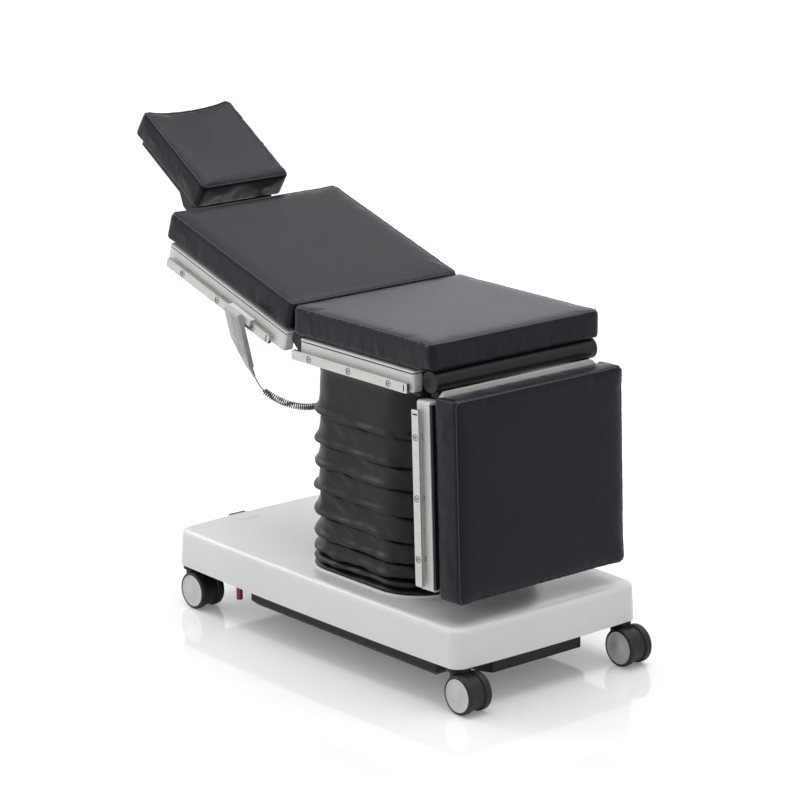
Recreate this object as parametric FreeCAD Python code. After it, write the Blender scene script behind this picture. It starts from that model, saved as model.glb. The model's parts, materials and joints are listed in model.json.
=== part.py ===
import FreeCAD, Part
import math
import os

from FreeCAD import Placement, Rotation, Vector

# A mobile operating table: a wheeled base, a lifting column in a gaiter, and a table top of four
# sections. Sizes are in millimetres. X runs along the table with the foot end at +X, the near long
# side is at -Y, Z is up from the floor, and the origin is under the middle of the whole table.

# Castors
wheel_radius = 50
wheel_width = 22
wheel_edge_radius = 6
disc_radius = 42.8
disc_dish = 1.5
axle_radius = 6
running_clearance = 0.05
wheel_side_gap = 1
castor_width = 75
castor_trail = 35
castor_spread_x = 538
castor_spread_y = 274
fork_web_radius = 45
fork_barrel_radius = 23
fork_barrel_bottom = 58
stem_radius = 10
stem_length = 12
swivel_gap = 0.5
fork_wheel_gap = 1.5
axle_end_inset = 5.5

# Base
base_middle_x = 162
cover_half_length = 570
cover_half_width = 310
cover_end_bow = 8
cover_side_bow = 11
cover_corner_radius = 35
cover_bottom = 113
cover_height = 100.6
cover_draft = 2
cover_edge_radius = 18
cover_wall = 5
cover_collar_height = 4
cover_collar_margin = 14
cover_hole_margin = 18
cover_well_gap = 2
chassis_thickness = 8
chassis_gap = 0.5
boss_radius = 30
boss_height = 13
tray_head_x = -153
tray_foot_x = 592
tray_half_width = 255
tray_depth = 65
tray_chamfer = 12
tongue_length = 95
tongue_half_width = 150
tongue_slope = 18
drive_unit_length = 210
drive_unit_width = 300
drive_unit_height = 76
drive_unit_head_x = -130
inlet_cap_length = 58
inlet_cap_width = 67
inlet_cap_height = 6
inlet_cap_seat = 4
inlet_cap_y = -142
inlet_cap_inset = 6

# Brake lever under the cover
brake_pivot_x = -182
brake_pivot_y = -205
brake_peg_x = -187
brake_peg_y = -268
brake_pin_radius = 6
brake_pin_head_radius = 10
brake_arm_thickness = 7
brake_arm_half_width = 12
brake_arm_drop = 9
brake_peg_radius = 8.5
brake_peg_bottom = 56

# Lifting column
column_x = 242
column_outer_length = 250
column_outer_width = 200
column_wall = 8
column_corner_radius = 20
column_clearance = 0.3
column_outer_top = 600
column_middle_bottom = 146
column_middle_top = 630
column_inner_bottom = 172
cylinder_radius = 32
cylinder_bore_radius = 20
cylinder_top = 560
rod_bottom = 200
head_plate_bottom = 655
head_plate_thickness = 12
head_plate_length = 280
head_plate_width = 220
head_plate_corner = 24
cheek_inner_y = 70
cheek_thickness = 20
cheek_half_length = 35
trend_axis_z = 700
trend_shaft_radius = 15
roll_axis_z = 745
roll_shaft_radius = 12
roll_shaft_half_length = 78
yoke_half_length = 38
yoke_drum_radius = 31
yoke_shoulder = 26
yoke_crown = 5
yoke_top_half_width = 26
lug_inner_x = 46
lug_thickness = 22
lug_half_width = 58
lug_drop = 28

# Gaiter round the column
gaiter_middle_x = 262
gaiter_half_length = 225
gaiter_half_width = 240
gaiter_corner_radius = 115
gaiter_wall = 2.5
gaiter_gap = 0.3
gaiter_top_inset = 4
gaiter_ridge_spacings = [136, 77, 61, 68, 65, 56, 48, 36]
gaiter_ridge_reach = 6
gaiter_panel_inset = 5
gaiter_valley_inset = 11
gaiter_ridge_lip = 13
gaiter_plate_thickness = 6
gaiter_plate_hole_length = 280
gaiter_plate_hole_width = 260
gaiter_plate_hole_corner = 30

# Table top, in heights above the underside of the side rails
rail_bottom_z = 774
beam_outer_y = 283
beam_width = 30
beam_height = 45
beam_step = 2.5
board_gap = 3.5
board_thickness = 4.5
beam_corner_radius = 8
rail_length = 450
rail_height = 25
rail_thickness = 10
rail_gap = 8.5
rail_corner_radius = 4
fixing_first = 70
fixing_spacing = 155
fixing_count = 3
spacer_radius = 10
screw_radius = 4
screw_head_radius = 7.5
screw_head_depth = 4
screw_socket_radius = 3
screw_socket_depth = 2.5
screw_ring_gap = 0.4
screw_sink = 0.6
rail_slot_inset = 12
rail_slot_width = 4
rail_slot_height = 18
cushion_half_width = 280
cushion_thickness = 80
cushion_gap = 0.5
cushion_corner_radius = 14
cushion_top_radius = 8
cushion_bottom_radius = 5

# Seat section
seat_beam_head_x = 97
seat_beam_foot_x = 536
seat_rail_head_x = 84
seat_cushion_head_x = 68
seat_cushion_foot_x = 603
seat_crossbar_length = 25
under_plate_thickness = 5
under_plate_head_x = 102
under_plate_foot_x = 560
under_plate_half_width = 279

# Hinge of the back section
back_axis_x = 58
back_axis_height = 41
back_angle = 17.0
back_nose_radius = 12
back_pin_radius = 7
hinge_block_inner_y = 240
hinge_block_outer_y = 268
hinge_block_length = 12
back_lug_inner_y = 222
hinge_side_gap = 0.4
back_beam_start = 18.8
back_beam_length = 514
back_rail_start = 61
back_cushion_start = 22
back_cushion_length = 536
back_crossbar_first = 112
back_crossbar_last = 505
back_crossbar_length = 25
back_bar_depth = 22

# Hinge of the leg section
leg_axis_x = 582
leg_axis_height = 33.3
leg_angle = 87.8
leg_barrel_radius = 27.5
leg_barrel_inner_y = 238.5
leg_barrel_outer_y = 268
leg_shaft_radius = 12
leg_beam_start = 46
leg_end_gap = 49
leg_beam_setback = 16
leg_rail_start = 66
leg_cushion_start = 32
leg_cushion_thickness = 84
leg_cushion_lift = 4
leg_board_start = 23.5
leg_board_setback = 10.5
leg_board_thickness = 12
leg_board_half_width = 260
leg_board_lift = 4.5
leg_board_chamfer = 14
leg_arm_half_height = 13
leg_crossbar_first = 150
leg_crossbar_last = 470
tube_bracket_y = 200
tube_bracket_thickness = 14

# Head section
head_axis_reach = 624
head_axis_height = 43
head_angle = 15.5
head_pin_radius = 8
head_nose_radius = 14
head_arm_inner_y = 105
head_arm_thickness = 12
head_arm_gap = 0.4
head_arm_reach = 143
head_arm_knee_x = 80
head_arm_knee_drop = 10
head_board_lift = 33.5
head_board_thickness = 9.5
head_board_half_width = 138
head_board_start = 12
head_cushion_start = 9
head_cushion_length = 313
head_cushion_half_width = 145
head_cushion_dish = 17

# Handset that hangs on the near rail of the back section
handset_top_x = -120
handset_top_y = -338.3
handset_top_z = 866
handset_down = Vector(-0.215, 0.379, -0.900)
handset_across = Vector(0.974, 0, -0.225)
handset_length = 180
handset_width = 61
handset_end_width = 16
handset_taper_share = 0.55
handset_thickness = 16
hook_start = 142
hook_length = 94
hook_wall = 3.4
hook_depth = 14
hook_gap = 0.3
hook_pad_start = 172
hook_pad_length = 30
hook_pad_reach = 16

# Curly cord of the handset: its points lie from the gland to the socket under the seat
wire_diameter = 5
coil_diameter = 20
gland_radius = 6.5
socket_radius = 9
cord_tail_points = [
    Vector(-121, -261, 680.5),
    Vector(-114, -253, 659),
    Vector(-103, -245, 642),
]
cord_coil_points = [
    Vector(-103, -245, 642),
    Vector(-84, -226, 625),
    Vector(-50, -208, 611),
    Vector(-30, -172, 600),
    Vector(-15, -130, 599),
    Vector(-8, -95, 617),
    Vector(-8, -68, 655),
    Vector(-8, -59, 700),
    Vector(-8, -58, 735),
]
cord_lead_points = [
    Vector(-8, -58, 735),
    Vector(-5, -58, 757),
    Vector(6, -58, 775),
    Vector(24, -58, 783),
    Vector(46, -58, 785),
    Vector(73, -58, 785),
]

# Worked out from the sizes above
cover_top = cover_bottom + cover_height
board_top = beam_height + board_gap + board_thickness
cushion_bottom = board_top + cushion_gap
rail_inner_y = beam_outer_y + rail_gap
rail_outer_y = rail_inner_y + rail_thickness
under_plate_bottom_z = rail_bottom_z - under_plate_thickness
gaiter_plate_bottom_z = under_plate_bottom_z - gaiter_plate_thickness
gaiter_top = gaiter_plate_bottom_z - gaiter_gap
column_bottom = cover_bottom + chassis_thickness
beam_inner_y = beam_outer_y - beam_width


def box(x0, x1, y0, y1, z0, z1):
    return Part.makeBox(x1 - x0, y1 - y0, z1 - z0, Vector(x0, y0, z0))


def rod(start, end, radius):
    along = end - start
    return Part.makeCylinder(radius, along.Length, start, along)


def cross_rod(x, z, y0, y1, radius):
    return Part.makeCylinder(radius, y1 - y0, Vector(x, y0, z), Vector(0, 1, 0))


def mirrored(shape):
    return shape.mirror(Vector(0, 0, 0), Vector(0, 1, 0))


def both_sides(shapes):
    return list(shapes) + [mirrored(shape) for shape in shapes]


def moved(shapes, placement):
    copies = []
    for shape in shapes:
        copy = shape.copy()
        copy.Placement = placement.multiply(copy.Placement)
        copies.append(copy)
    return copies


def side_profile(points, y0, y1):
    corners = [Vector(x, y0, z) for x, z in points]
    face = Part.Face(Part.makePolygon(corners + corners[:1]))
    return face.extrude(Vector(0, y1 - y0, 0))


def plan_profile(points, z0, z1):
    corners = [Vector(x, y, z0) for x, y in points]
    face = Part.Face(Part.makePolygon(corners + corners[:1]))
    return face.extrude(Vector(0, 0, z1 - z0))


def rounded_wire(middle_x, half_length, half_width, radius, z):
    """A rounded rectangle in plan, from four lines and four arcs."""
    edges = []
    diagonal = radius * math.sqrt(0.5)
    quarter_turns = [(1, 1), (-1, 1), (-1, -1), (1, -1)]
    for turn, (sign_x, sign_y) in enumerate(quarter_turns):
        centre = Vector(middle_x + sign_x * (half_length - radius), sign_y * (half_width - radius), z)
        along_x = centre + Vector(sign_x * radius, 0, 0)
        along_y = centre + Vector(0, sign_y * radius, 0)
        middle = centre + Vector(sign_x * diagonal, sign_y * diagonal, 0)
        start, end = (along_x, along_y) if turn % 2 == 0 else (along_y, along_x)
        if edges:
            edges.append(Part.LineSegment(edges[-1].Vertexes[-1].Point, start).toShape())
        edges.append(Part.Arc(start, middle, end).toShape())
    edges.append(Part.LineSegment(edges[-1].Vertexes[-1].Point, edges[0].Vertexes[0].Point).toShape())
    return Part.Wire(edges)


def rounded_block(middle_x, half_length, half_width, radius, z0, z1):
    face = Part.Face(rounded_wire(middle_x, half_length, half_width, radius, z0))
    return face.extrude(Vector(0, 0, z1 - z0))


def edges_at_height(shape, z):
    return [edge for edge in shape.Edges if all(abs(v.Point.z - z) < 0.01 for v in edge.Vertexes)]


def upright_edges(shape):
    """Edges that rise from the bottom of a block to its top."""
    found = []
    for edge in shape.Edges:
        heights = [v.Point.z for v in edge.Vertexes]
        if len(heights) == 2 and abs(heights[0] - heights[1]) > shape.BoundBox.ZLength * 0.9:
            found.append(edge)
    return found


# Castors

def castor_places():
    places = []
    for sign_x in (-1, 1):
        for sign_y in (-1, 1):
            places.append((base_middle_x + sign_x * castor_spread_x, sign_y * castor_spread_y))
    return places


def castor_fork(x, y):
    """A web between the two wheels with the swivel barrel and stem on it, and the axle through it."""
    web_half = castor_width / 2 - wheel_width - wheel_side_gap
    axle_x = x + castor_trail
    barrel_top = cover_bottom - boss_height - swivel_gap
    fork = cross_rod(axle_x, wheel_radius, y - web_half, y + web_half, fork_web_radius)
    barrel = rod(Vector(x, y, fork_barrel_bottom), Vector(x, y, barrel_top), fork_barrel_radius)
    for y0 in (y - castor_width / 2, y + web_half):
        y1 = y0 + castor_width / 2 - web_half
        barrel = barrel.cut(cross_rod(axle_x, wheel_radius, y0, y1, wheel_radius + fork_wheel_gap))
    neck = box(x, axle_x, y - web_half, y + web_half, fork_barrel_bottom, barrel_top)
    stem = rod(Vector(x, y, barrel_top), Vector(x, y, barrel_top + stem_length), stem_radius)
    axle_half = castor_width / 2 - axle_end_inset
    axle = cross_rod(axle_x, wheel_radius, y - axle_half, y + axle_half, axle_radius)
    return [fork.fuse([barrel, neck, stem, axle]).removeSplitter()]


def castor_wheel(x, y, side):
    """One wheel: a tyre ring, and a dished disc with a blind bore that runs on the axle."""
    axle_x = x + castor_trail
    inner_y = y + side * (castor_width / 2 - wheel_width)
    outward = Vector(0, side, 0)
    start = Vector(axle_x, inner_y, wheel_radius)
    tyre = Part.makeCylinder(wheel_radius, wheel_width, start, outward)
    tyre = tyre.makeFillet(wheel_edge_radius, [edge for edge in tyre.Edges if len(edge.Vertexes) == 1])
    tyre = tyre.cut(Part.makeCylinder(disc_radius, wheel_width, start, outward))
    disc = Part.makeCylinder(disc_radius, wheel_width - disc_dish / 2, start, outward)
    dish_start = start + outward * (wheel_width - disc_dish)
    disc = disc.cut(Part.makeCylinder(disc_radius - 6, disc_dish, dish_start, outward))
    bore_depth = wheel_width - axle_end_inset
    disc = disc.cut(Part.makeCylinder(axle_radius + running_clearance, bore_depth, start, outward))
    return [tyre, disc]


# Base

def bowed_wire(half_length, half_width, z):
    """The cover's outline in plan: four gently bowed sides that meet in corners."""
    corners = []
    for sign_x, sign_y in ((-1, -1), (1, -1), (1, 1), (-1, 1)):
        corners.append(Vector(base_middle_x + sign_x * half_length, sign_y * half_width, z))
    middles = [
        Vector(base_middle_x, -half_width - cover_side_bow, z),
        Vector(base_middle_x + half_length + cover_end_bow, 0, z),
        Vector(base_middle_x, half_width + cover_side_bow, z),
        Vector(base_middle_x - half_length - cover_end_bow, 0, z),
    ]
    edges = []
    for index, middle in enumerate(middles):
        edges.append(Part.Arc(corners[index], middle, corners[(index + 1) % 4]).toShape())
    return Part.Wire(edges)


def cover_block(inset, z0, z1):
    """The drafted block of the cover, with its skin moved in by inset."""
    wires = []
    for z in (z0, z1):
        shrink = inset + (z - cover_bottom) * math.tan(math.radians(cover_draft))
        wires.append(bowed_wire(cover_half_length - shrink, cover_half_width - shrink, z))
    block = Part.makeLoft(wires, True, True)
    return block.makeFillet(cover_corner_radius - inset, upright_edges(block))


def base_cover():
    """A moulded shell, open below, with a collar round the gaiter and a hole for the column."""
    outer = cover_block(0, cover_bottom, cover_top)
    outer = outer.makeFillet(cover_edge_radius, edges_at_height(outer, cover_top))
    cavity_top = cover_top - cover_wall
    cavity = cover_block(cover_wall, cover_bottom, cavity_top)
    cavity = cavity.makeFillet(cover_edge_radius - cover_wall, edges_at_height(cavity, cavity_top))
    collar_length = gaiter_half_length + cover_collar_margin
    collar_width = gaiter_half_width + cover_collar_margin
    collar_radius = gaiter_corner_radius + cover_collar_margin
    collar_top = cover_top + cover_collar_height
    collar = rounded_block(gaiter_middle_x, collar_length, collar_width, collar_radius,
                           cover_top - 1, collar_top)
    collar = collar.makeFillet(cover_collar_height / 2, edges_at_height(collar, collar_top))
    well_grow = gaiter_ridge_reach + cover_well_gap
    well_length = gaiter_half_length + well_grow
    well_width = gaiter_half_width + well_grow
    well_radius = gaiter_corner_radius + well_grow
    well = rounded_block(gaiter_middle_x, well_length, well_width, well_radius, cover_top, collar_top + 1)
    hole_length = column_outer_length / 2 + cover_hole_margin
    hole_width = column_outer_width / 2 + cover_hole_margin
    hole_radius = column_corner_radius + cover_hole_margin
    hole = rounded_block(column_x, hole_length, hole_width, hole_radius, cavity_top - 1, collar_top + 1)
    return [outer.fuse(collar).cut(cavity).cut(well).cut(hole)]


def chassis_plate():
    """The steel plate inside the cover, with the bosses of the castors and the brake lever's pin."""
    plate = cover_block(cover_wall + chassis_gap, cover_bottom, cover_bottom + chassis_thickness)
    boss_bottom = cover_bottom - boss_height
    solids = []
    for x, y in castor_places():
        solids.append(rod(Vector(x, y, boss_bottom), Vector(x, y, cover_bottom), boss_radius))
    arm_top = cover_bottom - brake_arm_drop
    arm_bottom = arm_top - brake_arm_thickness
    pin_bottom = arm_bottom - hinge_side_gap
    pin_start = Vector(brake_pivot_x, brake_pivot_y, pin_bottom - 3)
    solids.append(rod(pin_start, Vector(brake_pivot_x, brake_pivot_y, cover_bottom), brake_pin_radius))
    solids.append(rod(pin_start, Vector(brake_pivot_x, brake_pivot_y, pin_bottom), brake_pin_head_radius))
    shoulder_start = Vector(brake_pivot_x, brake_pivot_y, arm_top + hinge_side_gap)
    shoulder_end = Vector(brake_pivot_x, brake_pivot_y, cover_bottom)
    solids.append(rod(shoulder_start, shoulder_end, brake_pin_head_radius))
    plate = plate.fuse(solids).removeSplitter()
    for x, y in castor_places():
        bore_start = Vector(x, y, boss_bottom)
        bore_end = bore_start + Vector(0, 0, stem_length)
        plate = plate.cut(rod(bore_start, bore_end, stem_radius + running_clearance))
    return [plate]


def chassis_tray():
    """The black box under the plate, with a narrower tongue toward the foot end."""
    bottom = cover_bottom - tray_depth
    tray = box(tray_head_x, tray_foot_x, -tray_half_width, tray_half_width, bottom, cover_bottom)
    tray = tray.makeChamfer(tray_chamfer, edges_at_height(tray, bottom))
    end_x = tray_foot_x + tongue_length
    root_half = tongue_half_width + tongue_slope
    outline = [
        (tray_foot_x - 1, -root_half),
        (end_x - 2 * tongue_slope, -root_half),
        (end_x, -tongue_half_width),
        (end_x, tongue_half_width),
        (end_x - 2 * tongue_slope, root_half),
        (tray_foot_x - 1, root_half),
    ]
    tongue = plan_profile(outline, bottom + tray_chamfer, cover_bottom)
    return [tray.fuse(tongue).removeSplitter()]


def drive_unit():
    """Battery and pump in one steel case that stands on the plate beside the column."""
    x0 = drive_unit_head_x
    half = drive_unit_width / 2
    z0 = column_bottom
    case = box(x0, x0 + drive_unit_length, -half, half, z0, z0 + drive_unit_height)
    return [case.makeFillet(6, edges_at_height(case, z0 + drive_unit_height))]


def inlet_cap():
    """A small raised cap on the cover near its head end."""
    head_x = base_middle_x - cover_half_length + inlet_cap_inset
    top = cover_top + inlet_cap_height
    y1 = inlet_cap_y + inlet_cap_width
    cap = box(head_x, head_x + inlet_cap_length, inlet_cap_y, y1, cover_top - inlet_cap_seat, top)
    cap = cap.makeFillet(8, upright_edges(cap))
    cap = cap.makeFillet(3, edges_at_height(cap, top))
    return [cap.cut(base_cover()[0])]


def brake_lever():
    """A flat arm that turns on the plate's pin and carries the foot peg."""
    top = cover_bottom - brake_arm_drop
    bottom = top - brake_arm_thickness
    ends = [(brake_pivot_x, brake_pivot_y), (brake_peg_x, brake_peg_y)]
    along = Vector(ends[1][0] - ends[0][0], ends[1][1] - ends[0][1], 0).normalize()
    across = Vector(-along.y, along.x, 0) * brake_arm_half_width
    corners = []
    for (x, y), sign in ((ends[0], 1), (ends[1], 1), (ends[1], -1), (ends[0], -1)):
        corners.append((x + sign * across.x, y + sign * across.y))
    arm = plan_profile(corners, bottom, top)
    for x, y in ends:
        arm = arm.fuse(rod(Vector(x, y, bottom), Vector(x, y, top), brake_arm_half_width))
    x, y = ends[0]
    arm = arm.cut(rod(Vector(x, y, bottom), Vector(x, y, top), brake_pin_radius + running_clearance))
    return [arm.removeSplitter()]


def brake_peg():
    top = cover_bottom - brake_arm_drop - brake_arm_thickness
    start = Vector(brake_peg_x, brake_peg_y, brake_peg_bottom)
    peg = rod(start, Vector(brake_peg_x, brake_peg_y, top), brake_peg_radius)
    return [peg.makeFillet(3, edges_at_height(peg, brake_peg_bottom))]


# Column

def column_stage(inset, bottom, top):
    """One telescoping stage: a rounded box tube that is inset steps inside the outer one."""
    step = column_wall + column_clearance
    half_length = column_outer_length / 2 - inset * step
    half_width = column_outer_width / 2 - inset * step
    radius = column_corner_radius - inset * step / 2
    outer = rounded_block(column_x, half_length, half_width, radius, bottom, top)
    bore_length = half_length - column_wall
    bore_width = half_width - column_wall
    bore_radius = radius - step / 2
    return outer.cut(rounded_block(column_x, bore_length, bore_width, bore_radius, bottom, top))


def column_outer():
    return [column_stage(0, column_bottom, column_outer_top)]


def column_middle():
    return [column_stage(1, column_middle_bottom, column_middle_top)]


def column_inner():
    """The inner stage with the head plate and the two cheeks that hold the tilt shaft."""
    stage = column_stage(2, column_inner_bottom, head_plate_bottom)
    plate_top = head_plate_bottom + head_plate_thickness
    half_length = head_plate_length / 2
    half_width = head_plate_width / 2
    plate = rounded_block(column_x, half_length, half_width, head_plate_corner, head_plate_bottom, plate_top)
    cheek_outer_y = cheek_inner_y + cheek_thickness
    cheek = cross_rod(column_x, trend_axis_z, cheek_inner_y, cheek_outer_y, cheek_half_length)
    foot = box(
        column_x - cheek_half_length,
        column_x + cheek_half_length,
        cheek_inner_y,
        cheek_inner_y + cheek_thickness,
        head_plate_bottom,
        trend_axis_z,
    )
    bore = cross_rod(column_x, trend_axis_z, cheek_inner_y, cheek_inner_y + cheek_thickness,
                     trend_shaft_radius + running_clearance)
    cheek = cheek.fuse(foot).cut(bore)
    return [stage.fuse([plate] + both_sides([cheek])).removeSplitter()]


def lift_cylinder():
    start = Vector(column_x, 0, column_bottom)
    body = rod(start, Vector(column_x, 0, cylinder_top), cylinder_radius)
    floor = start + Vector(0, 0, 12)
    return [body.cut(rod(floor, Vector(column_x, 0, cylinder_top), cylinder_bore_radius))]


def lift_rod():
    start = Vector(column_x, 0, rod_bottom)
    return [rod(start, Vector(column_x, 0, head_plate_bottom), cylinder_bore_radius - running_clearance)]


def trend_shaft():
    half = cheek_inner_y + cheek_thickness + 4
    return [cross_rod(column_x, trend_axis_z, -half, half, trend_shaft_radius)]


def tilt_yoke():
    """The cross piece that turns on the tilt shaft and holds the roll shaft above it."""
    shoulder = trend_axis_z + yoke_shoulder
    top = roll_axis_z + roll_shaft_radius + yoke_crown
    half = cheek_inner_y - hinge_side_gap
    x0 = column_x - yoke_half_length
    x1 = column_x + yoke_half_length
    drum = cross_rod(column_x, trend_axis_z, -half, half, yoke_drum_radius)
    block = box(x0, x1, -half, half, trend_axis_z, shoulder)
    neck = box(x0, x1, -yoke_top_half_width, yoke_top_half_width, shoulder, top)
    yoke = drum.fuse([block, neck]).removeSplitter()
    yoke = yoke.cut(cross_rod(column_x, trend_axis_z, -half, half, trend_shaft_radius))
    roll = rod(Vector(x0, 0, roll_axis_z), Vector(x1, 0, roll_axis_z), roll_shaft_radius)
    return [yoke.cut(roll)]


def roll_shaft():
    x0 = column_x - roll_shaft_half_length
    x1 = column_x + roll_shaft_half_length
    return [rod(Vector(x0, 0, roll_axis_z), Vector(x1, 0, roll_axis_z), roll_shaft_radius)]


def gaiter_rows():
    """Heights from the gaiter's top edge down, with each row's offset from the outline.

    Each panel leans in, swells out to a ridge at its lower edge, and is tucked in below it.
    """
    rows = [(gaiter_top, -gaiter_top_inset), (gaiter_top - 2 * gaiter_top_inset, 0)]
    foot = cover_top + gaiter_gap
    scale = (gaiter_top - foot) / sum(gaiter_ridge_spacings)
    height = gaiter_top
    for spacing in gaiter_ridge_spacings:
        height -= spacing * scale
        rows.append((height + 0.35 * spacing * scale, -gaiter_panel_inset))
        rows.append((height, gaiter_ridge_reach))
        if height > foot + gaiter_ridge_lip:
            rows.append((height - gaiter_ridge_lip, -gaiter_valley_inset))
    return rows


def gaiter():
    """The folded cover of the column: an open box of folds with one thin wall."""
    lofts = []
    for inset in (0, gaiter_wall):
        wires = []
        for z, offset in gaiter_rows():
            grow = offset - inset
            wires.append(rounded_wire(gaiter_middle_x, gaiter_half_length + grow, gaiter_half_width + grow,
                                      gaiter_corner_radius + grow, z))
        lofts.append(Part.makeLoft(wires, True, True))
    return [lofts[0].cut(lofts[1])]


def gaiter_plate():
    """The plate under the seat that holds the gaiter's top edge."""
    half_length = gaiter_half_length - gaiter_top_inset
    half_width = gaiter_half_width - gaiter_top_inset
    radius = gaiter_corner_radius - gaiter_top_inset
    bottom = gaiter_plate_bottom_z
    plate = rounded_block(gaiter_middle_x, half_length, half_width, radius, bottom, under_plate_bottom_z)
    hole_length = gaiter_plate_hole_length / 2
    hole_width = gaiter_plate_hole_width / 2
    hole = rounded_block(column_x, hole_length, hole_width, gaiter_plate_hole_corner,
                         bottom, under_plate_bottom_z)
    return [plate.cut(hole)]


# Pieces that repeat on the seat, back and leg sections, each in its section's own level frame

def beams(x0, x1):
    """Two side beams, rounded at their ends in plan."""
    beam = box(x0, x1, beam_inner_y, beam_outer_y, 0, beam_height)
    outer = [edge for edge in beam.Edges if abs(edge.CenterOfMass.y - beam_outer_y) < 0.01
             and abs(edge.CenterOfMass.z - beam_height / 2) < 0.01]
    beam = beam.makeFillet(beam_corner_radius, outer)
    return both_sides([beam])


def gap_strips(x0, x1, top):
    """Two black strips along the beams that leave a shadow gap under the board."""
    strip_x0 = x0 + beam_corner_radius
    strip_x1 = x1 - beam_corner_radius
    return both_sides([box(strip_x0, strip_x1, beam_inner_y, beam_outer_y - beam_step, beam_height, top)])


def board(x0, x1, half_width, thickness, bottom, chamfer):
    outline = [
        (x0 + chamfer, -half_width),
        (x1 - chamfer, -half_width),
        (x1, chamfer - half_width),
        (x1, half_width - chamfer),
        (x1 - chamfer, half_width),
        (x0 + chamfer, half_width),
        (x0, half_width - chamfer),
        (x0, chamfer - half_width),
    ]
    return plan_profile(outline, bottom, bottom + thickness)


def fixing_places(rail_x0):
    return [rail_x0 + fixing_first + index * fixing_spacing for index in range(fixing_count)]


def screw(x, clear, sink):
    """A countersunk screw from the rail's face to the beam, grown by clear and sunk below the face."""
    z = rail_height / 2
    face_y = rail_outer_y - sink
    head = Part.makeCone(screw_head_radius + clear, screw_radius + clear, screw_head_depth,
                         Vector(x, face_y, z), Vector(0, -1, 0))
    shank = cross_rod(x, z, beam_outer_y, face_y, screw_radius + clear)
    return head.fuse(shank).removeSplitter()


def rails(rail_x0, slot_x):
    """Two flat side rails with countersunk holes and an end slot, where accessories are clamped."""
    bar = box(rail_x0, rail_x0 + rail_length, rail_inner_y, rail_outer_y, 0, rail_height)
    ends = [edge for edge in bar.Edges
            if abs(edge.CenterOfMass.y - (rail_inner_y + rail_outer_y) / 2) < 0.01]
    bar = bar.makeFillet(rail_corner_radius, ends)
    sink_y = rail_outer_y - screw_sink
    for x in fixing_places(rail_x0):
        bar = bar.cut(screw(x, running_clearance, screw_sink))
        bar = bar.cut(cross_rod(x, rail_height / 2, sink_y, rail_outer_y, screw_head_radius + screw_ring_gap))
    half = rail_slot_width / 2
    low = (rail_height - rail_slot_height) / 2
    high = rail_height - low
    slot = box(slot_x - half, slot_x + half, rail_inner_y, rail_outer_y, low + half, high - half)
    for z in (low + half, high - half):
        slot = slot.fuse(cross_rod(slot_x, z, rail_inner_y, rail_outer_y, half))
    return both_sides([bar.cut(slot)])


def rail_fixings(rail_x0):
    """Spacers between beam and rail, and the screws that hold both."""
    z = rail_height / 2
    face_y = rail_outer_y - screw_sink
    pieces = []
    for x in fixing_places(rail_x0):
        spacer = cross_rod(x, z, beam_outer_y, rail_inner_y, spacer_radius)
        pieces.append(spacer.cut(cross_rod(x, z, beam_outer_y, rail_inner_y, screw_radius)))
        socket = cross_rod(x, z, face_y - screw_socket_depth, face_y, screw_socket_radius)
        pieces.append(screw(x, 0, screw_sink).cut(socket))
    return both_sides(pieces)


def cushion(x0, x1, half_width, bottom, thickness):
    top = bottom + thickness
    middle_x = (x0 + x1) / 2
    pad = rounded_block(middle_x, (x1 - x0) / 2, half_width, cushion_corner_radius, bottom, top)
    pad = pad.makeFillet(cushion_top_radius, edges_at_height(pad, top))
    return pad.makeFillet(cushion_bottom_radius, edges_at_height(pad, bottom))


# Seat section

seat_frame = Placement(Vector(0, 0, rail_bottom_z), Rotation())


def seat_beams():
    return moved(beams(seat_beam_head_x, seat_beam_foot_x), seat_frame)


def seat_crossbars():
    """Cross bars between the beams, with brackets to the hinge tube and the cord's socket boss."""
    top = beam_height + board_gap
    bars = []
    for x in (seat_beam_head_x, seat_beam_foot_x - seat_crossbar_length):
        bars.append(box(x, x + seat_crossbar_length, -beam_inner_y, beam_inner_y, 0, top))
    bracket = box(seat_beam_foot_x, leg_axis_x, tube_bracket_y, tube_bracket_y + tube_bracket_thickness, 8, top)
    tube = cross_rod(leg_axis_x, leg_axis_height, 0, beam_inner_y, leg_barrel_radius)
    brackets = both_sides([bracket.cut(tube)])
    bars[1] = bars[1].fuse(brackets).removeSplitter()
    strips = gap_strips(seat_beam_head_x, seat_beam_foot_x, top)
    return moved(bars + strips, seat_frame)


def seat_under_plate():
    """The black plate under the seat frame, with the two lugs that run on the roll shaft."""
    half = under_plate_half_width
    plate = box(under_plate_head_x, under_plate_foot_x, -half, half, under_plate_bottom_z, rail_bottom_z)
    solids = []
    for sign in (-1, 1):
        near = column_x + sign * lug_inner_x
        far = near + sign * lug_thickness
        x0 = min(near, far)
        x1 = max(near, far)
        bottom = roll_axis_z - lug_drop
        lug = box(x0, x1, -lug_half_width, lug_half_width, bottom, under_plate_bottom_z)
        lower = [edge for edge in edges_at_height(lug, bottom) if abs(edge.CenterOfMass.y) > 1]
        lug = lug.makeChamfer(lug_half_width / 3, lower)
        solids.append(lug)
    plate = plate.fuse(solids).removeSplitter()
    reach = lug_inner_x + lug_thickness
    bore_start = Vector(column_x - reach, 0, roll_axis_z)
    bore_end = Vector(column_x + reach, 0, roll_axis_z)
    return [plate.cut(rod(bore_start, bore_end, roll_shaft_radius + running_clearance))]


def seat_board():
    bottom = beam_height + board_gap
    return moved([board(seat_beam_head_x, seat_beam_foot_x, beam_outer_y, board_thickness, bottom, 4)], seat_frame)


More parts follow.
